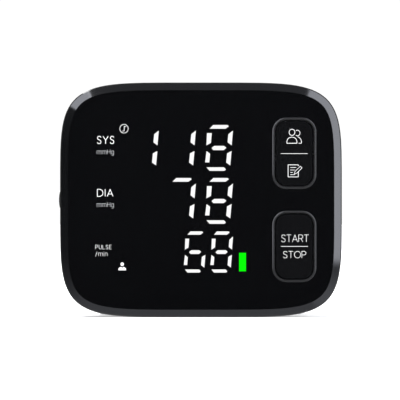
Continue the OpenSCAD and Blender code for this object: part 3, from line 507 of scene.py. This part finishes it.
# single-line letters: width, then lines of corners, from the foot of a capital (0) to its top (1)
letters = {
    "S": (0.56, [[(0.95, 0.82), (0.76, 0.97), (0.48, 1.0), (0.2, 0.95), (0.07, 0.78), (0.16, 0.6),
                  (0.5, 0.51), (0.84, 0.41), (0.95, 0.23), (0.8, 0.05), (0.5, 0.0), (0.2, 0.04),
                  (0.03, 0.19)]]),
    "T": (0.62, [[(0.0, 1.0), (1.0, 1.0)], [(0.5, 1.0), (0.5, 0.0)]]),
    "A": (0.7, [[(0.0, 0.0), (0.5, 1.0), (1.0, 0.0)], [(0.19, 0.33), (0.81, 0.33)]]),
    "R": (0.58, [[(0.0, 0.0), (0.0, 1.0), (0.6, 1.0), (0.88, 0.91), (0.97, 0.74), (0.88, 0.56),
                  (0.6, 0.48), (0.0, 0.48)], [(0.55, 0.48), (1.0, 0.0)]]),
    "O": (0.84, [[(0.5 + 0.5 * math.cos(i * math.pi / 9), 0.5 + 0.5 * math.sin(i * math.pi / 9))
                  for i in range(19)]]),
    "P": (0.56, [[(0.0, 0.0), (0.0, 1.0), (0.6, 1.0), (0.9, 0.91), (1.0, 0.73), (0.9, 0.55),
                  (0.6, 0.46), (0.0, 0.46)]]),
    "Y": (0.72, [[(0.0, 1.0), (0.5, 0.46), (1.0, 1.0)], [(0.5, 0.46), (0.5, 0.0)]]),
    "D": (0.7, [[(0.0, 0.0), (0.0, 1.0), (0.5, 1.0), (0.86, 0.84), (1.0, 0.5), (0.86, 0.16),
                 (0.5, 0.0), (0.0, 0.0)]]),
    "I": (0.0, [[(0.0, 1.0), (0.0, 0.0)]]),
    "U": (0.6, [[(0.0, 1.0), (0.0, 0.33), (0.15, 0.08), (0.5, 0.0), (0.85, 0.08), (1.0, 0.33),
                 (1.0, 1.0)]]),
    "L": (0.46, [[(0.0, 1.0), (0.0, 0.0), (1.0, 0.0)]]),
    "E": (0.48, [[(1.0, 1.0), (0.0, 1.0), (0.0, 0.0), (1.0, 0.0)], [(0.0, 0.52), (0.85, 0.52)]]),
    "H": (0.62, [[(0.0, 0.0), (0.0, 1.0)], [(1.0, 0.0), (1.0, 1.0)], [(0.0, 0.52), (1.0, 0.52)]]),
    "m": (0.9, [[(0.0, 0.0), (0.0, 0.72), (0.4, 0.72), (0.5, 0.6), (0.5, 0.0)],
                [(0.5, 0.6), (0.6, 0.72), (0.9, 0.72), (1.0, 0.6), (1.0, 0.0)]]),
    "n": (0.46, [[(0.0, 0.0), (0.0, 0.72), (0.8, 0.72), (1.0, 0.56), (1.0, 0.0)]]),
    "i": (0.0, [[(0.0, 0.0), (0.0, 0.72)], [(0.0, 0.88), (0.0, 1.02)]]),
    "g": (0.5, [[(1.0, 0.06), (0.5, 0.0), (0.1, 0.1), (0.0, 0.36), (0.1, 0.62), (0.5, 0.72),
                 (1.0, 0.68), (1.0, -0.1), (0.75, -0.28), (0.1, -0.26)]]),
    "/": (0.34, [[(0.0, -0.08), (1.0, 1.02)]]),
}


def lettering(name, words, box, weight, body, finish="printWhite", gap=0.26):
    # words of even line width in a pixel box: left, top, right, bottom of the capitals
    left, top, right, bottom = box
    starts, reach = [], 0.0
    for letter in words:
        starts.append(reach)
        reach += letters[letter][0] + gap
    scale = (right - left - weight) / (reach - gap)
    shapes = []
    for letter, start in zip(words, starts):
        wide, lines = letters[letter]
        for line in lines:
            shapes += stroke([(left + weight / 2 + scale * (start + wide * x),
                               bottom - weight / 2 - (bottom - top - weight) * y)
                              for x, y in line], weight)
    plates(name, shapes, finish, body)


# words and units on the face: left, top, right, bottom pixels, line width
labels = {
    "SYS": (96.9, 135.9, 114.4, 144.0, 0.62), "DIA": (97.0, 189.0, 113.3, 196.7, 0.62),
    "PULSE": (95.3, 244.9, 111.6, 249.2, 0.3), "/min": (95.4, 251.5, 107.4, 256.2, 0.28),
}
for words, (*box, weight) in labels.items():
    lettering("label_" + words.strip("/"), words, box, weight, "monitor")
for place, top in (("upper", 149.3), ("lower", 202.1)):
    lettering("label_mmHg_" + place, "mmHg", (96.9, top, 113.7, top + 4.9), 0.24, "monitor",
              "printUnit")
for name, words, box, weight in (("label_start", "START", (281.2, 234.6, 308.8, 242.2), 0.4),
                                 ("label_stop", "STOP", (283.0, 251.1, 306.2, 258.2), 0.41)):
    lettering(name, words, box, weight, "start_key_body", gap=0.16)
plates("line_start", stroke([(280.9, 246.4), (307.9, 246.4)], 0.42), "printWhite", "start_key_body")
plates("line_memory", stroke([(280.8, 153.6), (307.7, 153.6)], 0.42), "printWhite",
       "memory_key_body")

# two figures, one in front of the other
frontFigure = stroke(arc(292.0, 132.3, 2.9, 3.1, 0, 360, 20), 0.56) + stroke(
    [(286.9, 143.3), (286.9, 141.2), (287.6, 139.2), (289.2, 137.7), (291.9, 137.0), (294.6, 137.7),
     (296.2, 139.2), (296.9, 141.2), (296.9, 143.2)], 0.56, closed=True)
rearFigure = stroke(arc(297.4, 133.0, 2.6, 2.8, 125, -125, 14), 0.52) + stroke(
    [(297.6, 136.6), (299.4, 137.6), (300.8, 139.3), (301.4, 141.2), (301.4, 143.2),
     (298.7, 143.2)], 0.52)
plates("sign_users", frontFigure + rearFigure, "printWhite", "memory_key_body")

# sheet with lines and a pencil
sheet = stroke([(298.3, 171.6), (298.3, 176.9), (288.1, 176.9), (288.1, 164.8), (298.3, 164.8),
                (298.3, 166.0)], 0.56)
for rise, end in ((167.5, 296.2), (170.0, 294.8), (172.4, 292.8), (174.7, 295.0)):
    sheet += stroke([(290.2, rise), (end, rise)], 0.42)
pencil = stroke([(294.3, 173.9), (294.9, 171.6), (300.3, 166.2), (302.0, 167.9), (296.6, 173.3)],
                0.44, closed=True)
plates("sign_notes", sheet + pencil, "printWhite", "memory_key_body")

# ring with a short bent mark inside, and a small figure
ringSign = stroke(arc(124.0, 128.7, 4.2, 4.3, 0, 360, 24), 0.44)
mark = stroke([(126.1, 126.5), (124.2, 126.5), (124.2, 131.0), (122.3, 131.0)], 0.44)
plates("sign_ring", ringSign + mark, "printWhite", "monitor")
figure = [arc(122.2, 264.2, 1.75, 1.85, 0, 345, 14),
          [(118.3, 270.3), (118.6, 268.3), (120.0, 267.1), (121.3, 266.8), (122.2, 268.3),
           (123.1, 266.8), (124.4, 267.1), (125.8, 268.3), (126.1, 270.3)]]
plates("sign_figure", figure, "printWhite", "monitor")
print("signs printed")


def ringPoint(turn, lift, x=0.0):
    # place on the oval round the wrist; turns run from the front over the top, lifts outwards
    depth, height, endRadius = cuff["depth"], cuff["height"], cuff["endRadius"]
    endShift = height / 2 - endRadius
    arcRadius = (depth ** 2 / 4 + endShift ** 2 - endRadius ** 2) / (depth - 2 * endRadius)
    arcShift = arcRadius - depth / 2
    c, s = math.cos(math.radians(turn)), math.sin(math.radians(turn))
    if abs(c) > math.cos(math.atan2(endShift, arcShift)):
        ahead = -math.copysign(arcShift, c) + (arcRadius + lift) * c
        above = (arcRadius + lift) * s
    else:
        ahead = (endRadius + lift) * c
        above = math.copysign(endShift, s) + (endRadius + lift) * s
    return Vector((x, cuff["centreY"] - ahead, cuff["centreZ"] + above))


def outwards(turn, lift, step=0.001):
    return (ringPoint(turn, lift + step) - ringPoint(turn, lift)).normalized()


def wayAlong(points):
    # distance along a line of points, up to each of them
    reach = [0.0]
    for a, b in zip(points, points[1:]):
        reach.append(reach[-1] + (b - a).length)
    return reach


def bandLength(fromTurn, toTurn, lift, steps=400):
    turns = [fromTurn + (toTurn - fromTurn) * i / steps for i in range(steps + 1)]
    return wayAlong([ringPoint(turn, lift) for turn in turns])[-1]


def evenTurns(fromTurn, toTurn, lift, pitch, steps=2000):
    # turns whose points lie evenly along the band
    fine = [fromTurn + (toTurn - fromTurn) * i / steps for i in range(steps + 1)]
    reach = wayAlong([ringPoint(turn, lift) for turn in fine])
    count = max(2, round(reach[-1] / pitch))
    turns, at = [], 0
    for i in range(count + 1):
        goal = reach[-1] * i / count
        while at < steps - 1 and reach[at + 1] < goal:
            at += 1
        turns.append(fine[at] + (fine[at + 1] - fine[at]) * (goal - reach[at]) / (reach[at + 1] - reach[at]))
    return turns


def pressed(point, floor):
    # cloth that would reach below what the monitor stands on lies flat on it
    return Vector((point.x, point.y, max(point.z, floor)))


def joinRings(work, rings, closed=False):
    # faces between neighbouring rings of equal count
    count = len(rings[0])
    for a, b in zip(rings, rings[1:] + (rings[:1] if closed else [])):
        for k in range(count):
            m = (k + 1) % count
            work.faces.new((a[k], b[k], b[m], a[m]))


def softened(made):
    # rounds a coarse mesh off
    rounding = made.modifiers.new("round", "SUBSURF")
    rounding.levels = rounding.render_levels = 1
    return made


def sweepLoops(name, loops, finish, body):
    # closed mesh through flat section loops of equal count
    work = bmesh.new()
    rings = [[work.verts.new(p) for p in loop] for loop in loops]
    joinRings(work, rings)
    count = len(loops[0])
    for ring in (rings[0], rings[-1]):
        for k in range(count // 2 - 1):
            work.faces.new((ring[k], ring[k + 1], ring[count - 2 - k], ring[count - 1 - k]))
    return softened(addObject(name, shapedMesh(name, work), finish, body))


def strapLoop(turn, half, low, high, edge, columns=9):
    # flat section with soft edges: inner side first, then back along the outer side
    xs = [-half + 2 * half * k / (columns - 1) for k in range(columns)]
    xs = [-half, -half + edge] + xs[1:-1] + [half - edge, half]
    thin = [edge * 0.7 if abs(x) == half else 0 for x in xs]
    inner = [ringPoint(turn, low + t, x) for x, t in zip(xs, thin)]
    outer = [ringPoint(turn, high - t, x) for x, t in zip(xs, thin)]
    return inner + outer[::-1]


def roundedHalf(half, share, length, radius, start=True):
    # half width of a band with rounded corners at its end, and at its start if that is free
    distance = min(share * length if start else 1, (1 - share) * length)
    if distance >= radius:
        return half
    return half - radius + math.sqrt(max(0, radius ** 2 - (radius - distance) ** 2))


print("cuff fabric next")

cover = {
    "half": cuff["width"] / 2, "corner": 0.006, "pitch": 0.0022, "edge": 0.0005, "swell": 0.00012,
    "swellPerTurn": 0.08, "swellPlace": 3.1, "clear": 0.0001,
}
turns = evenTurns(cuff["from"], cuff["to"], cuff["thickness"], cover["pitch"])
coverLength = bandLength(cuff["from"], cuff["to"], cuff["thickness"])
loops = []
for i, turn in enumerate(turns):
    half = roundedHalf(cover["half"], i / (len(turns) - 1), coverLength, cover["corner"])
    swell = cover["swell"] * noise.noise(Vector((turn * cover["swellPerTurn"], cover["swellPlace"], 0)))
    loop = strapLoop(turn, half, cuff["coverIn"], cuff["thickness"] + swell, cover["edge"])
    loops.append([pressed(p, cuff["rest"] + cover["clear"]) for p in loop])
coverPiece = sweepLoops("cuff_outer_fabric", loops, "cuffCloth", "monitor")
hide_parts("cuff_cover")

pad = {
    "half": cuff["width"] / 2 - 0.0015, "corner": 0.006, "columns": 44, "pitch": 0.00135,
    "middleIn": 0.0016, "channel": 0.85, "cross": [5 / 54, 27 / 54, 49 / 54], "rise": 0.0014,
    "edgeRise": 0.0008, "seamShare": 0.45, "pressure": 3.0, "frames": 18, "furthest": 0.0016,
}


def makePad():
    # cushion: backing and face sewn together at the edges, along two channels and across three
    turns = evenTurns(cuff["from"], cuff["to"], pad["middleIn"], pad["pitch"])
    length = bandLength(cuff["from"], cuff["to"], pad["middleIn"])
    rows, columns = len(turns), pad["columns"] + 1
    work = bmesh.new()
    faceGrid, backGrid, sewn = [], [], set()
    for i, turn in enumerate(turns):
        share = i / (rows - 1)
        half = roundedHalf(pad["half"], share, length, pad["corner"])
        onCross = any(abs(share - c) < 0.6 / rows for c in pad["cross"])
        faceRow, backRow = [], []
        for k in range(columns):
            u = -1 + 2 * k / (columns - 1)
            onSeam = onCross or abs(abs(u) - pad["channel"]) < 1.01 / (columns - 1)
            edge = k in (0, columns - 1) or i in (0, rows - 1)
            rise = pad["edgeRise"] if edge else pad["rise"] * (pad["seamShare"] if onSeam else 1)
            faceRow.append(work.verts.new(ringPoint(turn, cuff["padThickness"] - rise, u * half)))
            backRow.append(work.verts.new(ringPoint(turn, cuff["padThickness"], u * half)))
            if edge or onSeam:
                sewn.add((i, k))
        faceGrid.append(faceRow)
        backGrid.append(backRow)
    for i in range(rows - 1):
        for k in range(columns - 1):
            corners = (i, k), (i, k + 1), (i + 1, k + 1), (i + 1, k)
            work.faces.new([faceGrid[a][b] for a, b in corners])
            work.faces.new([backGrid[a][b] for a, b in corners[:1] + corners[:0:-1]])
    rim = [(0, k) for k in range(columns)] + [(i, columns - 1) for i in range(1, rows)]
    rim += [(rows - 1, k) for k in range(columns - 2, -1, -1)]
    rim += [(i, 0) for i in range(rows - 2, 0, -1)]
    for (i, k), (j, m) in zip(rim, rim[1:] + rim[:1]):
        work.faces.new((backGrid[i][k], backGrid[j][m], faceGrid[j][m], faceGrid[i][k]))
    work.verts.index_update()
    held = [faceGrid[i][k].index for i, k in sewn] + [v.index for row in backGrid for v in row]
    return shapedMesh("air_cushion_fabric", work), held


def puffUp(mesh, held):
    # lets air pressure swell the cloth between its seams, then keeps the result as a plain mesh
    body = inScene("cushionCloth", mesh)
    body.vertex_groups.new(name="sewn").add(held, 1.0, "REPLACE")
    rest = [v.co.copy() for v in mesh.vertices]
    cloth = body.modifiers.new("air", "CLOTH")
    for name, value in {
            "quality": 6, "mass": 0.2, "tension_stiffness": 12, "compression_stiffness": 12,
            "shear_stiffness": 6, "bending_stiffness": 0.2, "vertex_group_mass": "sewn",
            "pin_stiffness": 1.0, "use_pressure": True, "uniform_pressure_force": pad["pressure"],
            "shrink_min": -0.04}.items():
        setattr(cloth.settings, name, value)
    cloth.settings.effector_weights.gravity = 0
    cloth.point_cache.frame_start, cloth.point_cache.frame_end = 1, pad["frames"]
    scene = bpy.context.scene
    for frameNumber in range(1, pad["frames"] + 1):
        scene.frame_set(frameNumber)
    seen = body.evaluated_get(bpy.context.evaluated_depsgraph_get())
    swollen = bpy.data.meshes.new_from_object(seen)
    scene.frame_set(1)
    bpy.data.objects.remove(body)
    longest = 0.0
    for v, start in zip(swollen.vertices, rest):
        move = v.co - start
        longest = max(longest, move.length)
        if move.length > pad["furthest"]:
            v.co = start + move * (pad["furthest"] / move.length)
    print("cushion swelled by up to", round(longest * 1000, 2), "mm")
    return swollen


padMesh, padHeld = makePad()
padMesh = puffUp(padMesh, padHeld)
padMesh.name = "air_cushion_fabric"
padPiece = softened(addObject("air_cushion_fabric", padMesh, "padCloth", "monitor"))
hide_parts("cuff_pad")
print("cushion made")


def edgePath(fromTurn, toTurn, lift, pitch, half, corner, closed, inset=0.0):
    # turn and x along one side of a band, round its end, back, and round its start if closed
    steps = 400
    length = bandLength(fromTurn, toTurn, lift)
    turns = evenTurns(fromTurn, toTurn, lift, length / steps)
    radius = max(corner - inset, 0.0005)
    half, first, last = half - inset, (inset if closed else 0.0), length - inset
    low, high = first + (radius if closed else 0), last - radius

    def turnAt(distance):
        share = min(1.0, max(0.0, distance / length)) * steps
        at = int(min(steps - 1, share))
        return turns[at] + (turns[at + 1] - turns[at]) * (share - at)

    def straight(a, b):
        count = max(1, round((Vector(b) - Vector(a)).length / pitch))
        return [tuple(Vector(a).lerp(Vector(b), i / count)) for i in range(count)]

    def quarter(cx, cy, fromAngle):
        count = max(3, round(radius * math.pi / 2 / pitch))
        angles = [math.radians(fromAngle + 90 * i / count) for i in range(count)]
        return [(cx + radius * math.cos(a), cy + radius * math.sin(a)) for a in angles]

    path = straight((low, -half), (high, -half)) + quarter(high, -half + radius, -90)
    path += straight((last, -half + radius), (last, half - radius))
    path += quarter(high, half - radius, 0) + straight((high, half), (low, half))
    if closed:
        path += quarter(low, half - radius, 90)
        path += straight((first, half - radius), (first, -half + radius))
        path += quarter(low, -half + radius, 180)
    else:
        path.append((low, half))
    return [(turnAt(distance), x) for distance, x in path]


def centreOfBand(turn, lift, fromTurn, toTurn, margin=12):
    # a point well inside the band, near the turn but never at its ends
    low, high = min(fromTurn, toTurn) + margin, max(fromTurn, toTurn) - margin
    return ringPoint(min(high, max(low, turn)), lift)


tape = {
    "pitch": 0.002, "bow": 0.0005, "shoulder": 0.45, "proud": 0.00006, "inset": 0.0001,
    "cuffLevels": (0.0022, 0.0056), "cuffWrap": 0.0034, "flapWrap": 0.0026,
}


def binding(name, fromTurn, toTurn, half, corner, levels, wrap, closed, body):
    # tape round the edge of a band; its section stands square to the edge, between two levels
    path = edgePath(fromTurn, toTurn, sum(levels(toTurn)) / 2, tape["pitch"], half, corner, closed)
    flat = [ringPoint(turn, sum(levels(turn)) / 2, x) for turn, x in path]
    work = bmesh.new()
    rings = []
    for i, (turn, _) in enumerate(path):
        before = flat[i - 1] if i or closed else flat[i]
        after = flat[(i + 1) % len(path)] if i < len(path) - 1 or closed else flat[i]
        low, high = levels(turn)
        lift = (low + high) / 2
        out = outwards(turn, lift)
        side = (after - before).normalized().cross(out).normalized()
        inner = centreOfBand(turn, lift, fromTurn, toTurn)
        if (flat[i] + side * 0.001 - inner).length < (flat[i] - side * 0.001 - inner).length:
            side = -side
        section = [(-wrap, low), (-wrap * tape["shoulder"], low - tape["proud"])]
        for k in range(5):
            turned = math.radians(-90 + 45 * k)
            section.append((tape["bow"] * math.cos(turned),
                            lift + (high - low) / 2 * math.sin(turned)))
        section += [(-wrap * tape["shoulder"], high + tape["proud"]), (-wrap, high)]
        rings.append([work.verts.new(pressed(flat[i] + side * s + out * (h - lift), cuff["rest"]))
                      for s, h in section])
    joinRings(work, rings, closed)
    if not closed:
        work.faces.new(rings[0])
        work.faces.new(rings[-1])
    softened(addObject(name, shapedMesh(name, work), "bindingTape", body))


thread = {
    "length": 0.0017, "gap": 0.0009, "thick": 0.0002, "look": 0.0002, "pathPitch": 0.0012,
    "cuffInset": 0.0023, "flapInset": 0.0019, "hookInset": 0.0012, "proud": 0.00004,
    "flapProud": 0.00012,
}


def stitches(name, path, lift, out, body):
    # one row of thread stitches, half sunk in a surface: short rounded bars that dip at both ends
    points = [pressed(ringPoint(turn, lift, x), cuff["rest"]) for turn, x in path]
    normals = [outwards(turn, lift, 0.001 * out) for turn, x in path]
    reach = wayAlong(points)
    total = reach[-1]

    def at(distance):
        low = min(bisect_right(reach, distance), len(reach) - 1) - 1
        share = (distance - reach[low]) / max(1e-9, reach[low + 1] - reach[low])
        return (points[low].lerp(points[low + 1], share),
                normals[low].lerp(normals[low + 1], share).normalized())

    work = bmesh.new()
    count = int(total / (thread["length"] + thread["gap"]))
    for n in range(count):
        start = (n + 0.2) * total / count
        rings = []
        for share in (0, 0.25, 0.5, 0.75, 1):
            place, normal = at(min(total, start + share * thread["length"]))
            ahead, _ = at(min(total, start + share * thread["length"] + thread["look"]))
            if (ahead - place).length > 1e-7:
                along = (ahead - place).normalized()
            side = along.cross(normal).normalized()
            height = thread["thick"] * (0.1 * math.sin(math.pi * share) - 0.4)
            width = thread["thick"] * (0.6 + 0.6 * math.sin(math.pi * share))
            rings.append([work.verts.new(place + normal * (height + width * 0.8 * math.sin(a))
                                         + side * width * math.cos(a))
                          for a in (math.pi * k / 3 for k in range(6))])
        joinRings(work, rings)
        work.faces.new(rings[0])
        work.faces.new(rings[-1])
    addObject(name, shapedMesh(name, work), "thread", body)


binding("cuff_edge_tape", cuff["from"], cuff["to"], cover["half"] - tape["inset"], cover["corner"],
        lambda turn: tape["cuffLevels"], tape["cuffWrap"], True, "monitor")
for name, pathLift, lift, out in (("cuff_edge_stitches", 0.0057, 0.00566, 1),
                                  ("cushion_edge_stitches", 0.0021, 0.00212, -1)):
    path = edgePath(cuff["from"], cuff["to"], pathLift, thread["pathPitch"], cover["half"],
                    cover["corner"], True, thread["cuffInset"])
    stitches(name, path, lift, out, "monitor")
print("edges bound")

flap = {
    "half": cuff["width"] / 2 - 0.004, "corner": 0.009, "rootIn": 0.0057, "rootShare": 0.2,
    "middleIn": 0.0075, "pitch": 0.0022, "edge": 0.0005, "tapeProud": 0.0001, "tapeFrom": 0.6,
    "threadFrom": 36, "top": cuff["flapIn"] + cuff["flapThickness"],
}


def flapLow(turn):
    # the flap starts low at its sewn root and rises over the hook patch
    share = (turn - cuff["flapFrom"]) / (cuff["flapTo"] - cuff["flapFrom"])
    risen = 1 - max(0, 1 - share / flap["rootShare"]) ** 2
    return flap["rootIn"] + (cuff["flapIn"] - flap["rootIn"]) * risen


def flapLevels(turn):
    # inner and outer level of the tape round the flap
    low = flapLow(turn)
    return low - flap["tapeProud"], low + cuff["flapThickness"] + flap["tapeProud"]


turns = evenTurns(cuff["flapFrom"], cuff["flapTo"], flap["middleIn"], flap["pitch"])
flapLength = bandLength(cuff["flapFrom"], cuff["flapTo"], flap["middleIn"])
loops = []
for i, turn in enumerate(turns):
    low = flapLow(turn)
    half = roundedHalf(flap["half"], i / (len(turns) - 1), flapLength, flap["corner"], start=False)
    loops.append(strapLoop(turn, half, low, low + cuff["flapThickness"], flap["edge"]))
flapPiece = sweepLoops("closing_flap", loops, "loopCloth", "flap")
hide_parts("cuff_flap")

hookTape = {
    "from": 158, "to": 224, "half": flap["half"] - 0.005, "inset": 2, "corner": 0.001,
    "middleIn": 0.006, "pitch": 0.0022, "edge": 0.0002, "out": cuff["flapIn"] - 0.00005,
}
binding("flap_edge_tape", cuff["flapFrom"] + flap["tapeFrom"], cuff["flapTo"],
        flap["half"] - tape["inset"], flap["corner"], flapLevels, tape["flapWrap"], False, "flap")
path = edgePath(cuff["flapFrom"] + flap["threadFrom"], cuff["flapTo"], flap["top"],
                thread["pathPitch"], flap["half"], flap["corner"], False, thread["flapInset"])
stitches("flap_stitches", path, flap["top"] + thread["flapProud"], 1, "flap")
path = edgePath(hookTape["from"] + hookTape["inset"], hookTape["to"] - hookTape["inset"],
                flap["top"], thread["pathPitch"], hookTape["half"] - thread["hookInset"],
                hookTape["corner"], True)
stitches("hook_stitches", path, flap["top"] + thread["proud"], 1, "flap")

anchor = {
    "from": 39, "to": 49.6, "in": 0.0055, "out": 0.0073, "middleIn": 0.007, "pitch": 0.001,
    "edge": 0.0004, "margin": 0.001, "rows": {"front": 41.5, "middle": 44.5, "rear": 47.5},
}
threadHalf = flap["half"] - anchor["margin"]
for place, turn in anchor["rows"].items():
    across = [(turn, -threadHalf + 2 * threadHalf * i / 40) for i in range(41)]
    stitches("anchor_stitches_" + place, across, anchor["out"] + thread["proud"], 1, "monitor")
anchorLoops = [strapLoop(turn, flap["half"], anchor["in"], anchor["out"], anchor["edge"])
               for turn in evenTurns(anchor["from"], anchor["to"], anchor["middleIn"], anchor["pitch"])]
anchorPiece = sweepLoops("flap_anchor_strip", anchorLoops, "cuffCloth", "monitor")
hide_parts("flap_anchor")
hookLoops = [strapLoop(turn, hookTape["half"], cuff["hookIn"], hookTape["out"], hookTape["edge"])
             for turn in evenTurns(hookTape["from"], hookTape["to"], hookTape["middleIn"],
                                   hookTape["pitch"])]
hookPiece = sweepLoops("hook_tape", hookLoops, "hookCloth", "flap")
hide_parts("hook_patch")
print("flap made")

# each lamp: name, place, width and height, watts, whether glossy pieces mirror it
studio = {
    "floorSize": 6.0, "nearFloor": 0.3, "lensDistance": 1.6, "seen": face["photo"] * face["pixel"],
    "sensor": 36, "white": 1.05, "aim": (0, 0, 0.03),
    "floorPaint": ((0.84, 0.84, 0.84), (0.88, 0.88, 0.88)),
    "floorGlow": ((0.42, 0.42, 0.42), (1.1, 1.1, 1.1)),
    "lamps": [
        ("keyLight", (-0.5, -0.9, 1.2), (0.6, 0.6), 14, True),
        ("sideLight", (1.0, -0.1, 0.5), (0.5, 0.5), 7, False),
        ("backLight", (-0.3, 0.9, 0.9), (0.8, 0.6), 12, True),
    ],
}
# the mirrored room: it darkens to the front and is lighter below; for each band of cards how far it
# lies to the front, its half width, the sharpness of its edges, and its brightness by the turn from
# the right over the top
room = {
    "walls": 0.3, "belowGlow": 0.55, "brightest": 6.5, "tint": (0.885, 0.91, 1.0),
    "front": (0.66, 8.0), "frontShade": 0.96, "below": (0.06, 12.0),
    "bands": [
        (0.18, 0.1, 20.0, [
            (-180, 3.5), (-179, 3.5), (-175, 0.25), (-95, 0.15), (-24, 0.25), (-8, 1.4), (20, 1.7),
            (68, 1.3), (84, 0.35), (96, 0.35), (103, 1.5), (118, 2.2), (150, 2.5), (165, 3.3),
            (180, 3.5)]),
        (0.348, 0.14, 16.0, [
            (-180, 0.03), (-172, 0.2), (-160, 0.36), (-150, 0.5), (-140, 0.66), (-128, 0.82),
            (-115, 0.94), (-85, 0.95), (-66, 0.9), (-60, 1.4), (-40, 1.55), (-28, 1.38), (-18, 1.1),
            (-9, 0.7), (-6, 0.6), (-5, 5.9), (69.5, 6.0), (70.5, 0.42), (112.5, 0.42), (113.5, 6.3),
            (147, 6.3), (148.5, 0.14), (160, 0.12), (180, 0.03)]),
    ],
}


def makeFloor():
    # pale floor, brighter away from the object so that it runs into the white behind it
    mesh = bpy.data.meshes.new("paleFloor")
    work = bmesh.new()
    bmesh.ops.create_grid(work, x_segments=12, y_segments=12, size=studio["floorSize"])
    work.to_mesh(mesh)
    work.free()
    floor = inScene("paleFloor", mesh)
    f = Finish("floorPaint", Roughness=0.9, Specular_IOR_Level=0.0, Emission_Strength=1.0)
    x, y, z = f.axes(f.place)
    away = ((x * x + y * y) ** 0.5 / studio["nearFloor"] - 0.5).clamped()
    f.feed("Base Color", f.blendColour(f.grain(0.5), *studio["floorPaint"]))
    f.feed("Emission Color", f.blendColour(away, *studio["floorGlow"]))
    mesh.materials.append(f.material)
    floor.visible_glossy = False


def makeWorld():
    # white to the camera; what mirrors it sees a dim room with bright cards beside and above
    world = bpy.data.worlds.new("studioRoom")
    bpy.context.scene.world = world
    world.use_nodes = True
    world.node_tree.nodes.clear()
    g = Graph(world.node_tree)

    def light(level, colour=(1, 1, 1, 1)):
        return g.node("ShaderNodeBackground", values={"Color": colour, "Strength": level})["Background"]

    def mixed(factor, first, second):
        return g.node("ShaderNodeMixShader", values={0: factor, 1: first, 2: second})["Shader"]

    x, y, z = g.axes(g.node("ShaderNodeTexCoord")["Generated"])
    around = z.angleFrom(x) / (2 * math.pi) + 0.5
    front, below = (((-way - room[side][0]) * room[side][1]).clamped()
                    for way, side in ((y, "front"), (z, "below")))
    glow = room["walls"] + room["belowGlow"] * below
    surround = light(glow * (1 - room["frontShade"] * front * (1 - below)))
    for forward, half, sharpness, levels in room["bands"]:
        stops = [((turn + 180) / 360, (*dimmed(room["tint"], level / room["brightest"]), 1))
                 for turn, level in levels]
        cards = g.node("ShaderNodeValToRGB", {"stops": stops}, {0: around})["Color"]
        inBand = ((half - (y + forward).size()) * sharpness).clamped()
        surround = mixed(inBand, surround, light(room["brightest"], cards))
    toCamera = g.node("ShaderNodeLightPath")["Is Camera Ray"]
    g.node("ShaderNodeOutputWorld", values={0: mixed(toCamera, surround, light(studio["white"]))})


def softLight(name, place, size, power, mirrored):
    light = bpy.data.lights.new(name, "AREA")
    light.shape = "RECTANGLE"
    light.size, light.size_y = size
    light.energy = power
    lamp = inScene(name, light)
    lamp.location = place
    lamp.rotation_mode = "QUATERNION"
    lamp.rotation_quaternion = (Vector(studio["aim"]) - Vector(place)).to_track_quat("-Z", "Y")
    lamp.visible_camera, lamp.visible_glossy = False, mirrored


makeFloor()
makeWorld()
for lamp in studio["lamps"]:
    softLight(*lamp)

camera = bpy.data.cameras.new("camera")
camera.sensor_width = studio["sensor"]
camera.lens = studio["sensor"] * studio["lensDistance"] / studio["seen"]
camera.clip_start, camera.clip_end = 0.05, 20
cameraObject = inScene("camera", camera)
cameraObject.location = spot(face["photo"] / 2, face["photo"] / 2, studio["lensDistance"])
cameraObject.rotation_euler = (math.radians(90), 0, 0)
bpy.context.scene.camera = cameraObject
view = bpy.context.scene.view_settings
view.view_transform, view.look, view.exposure, view.gamma = "Standard", "None", 0, 1
print("studio ready")
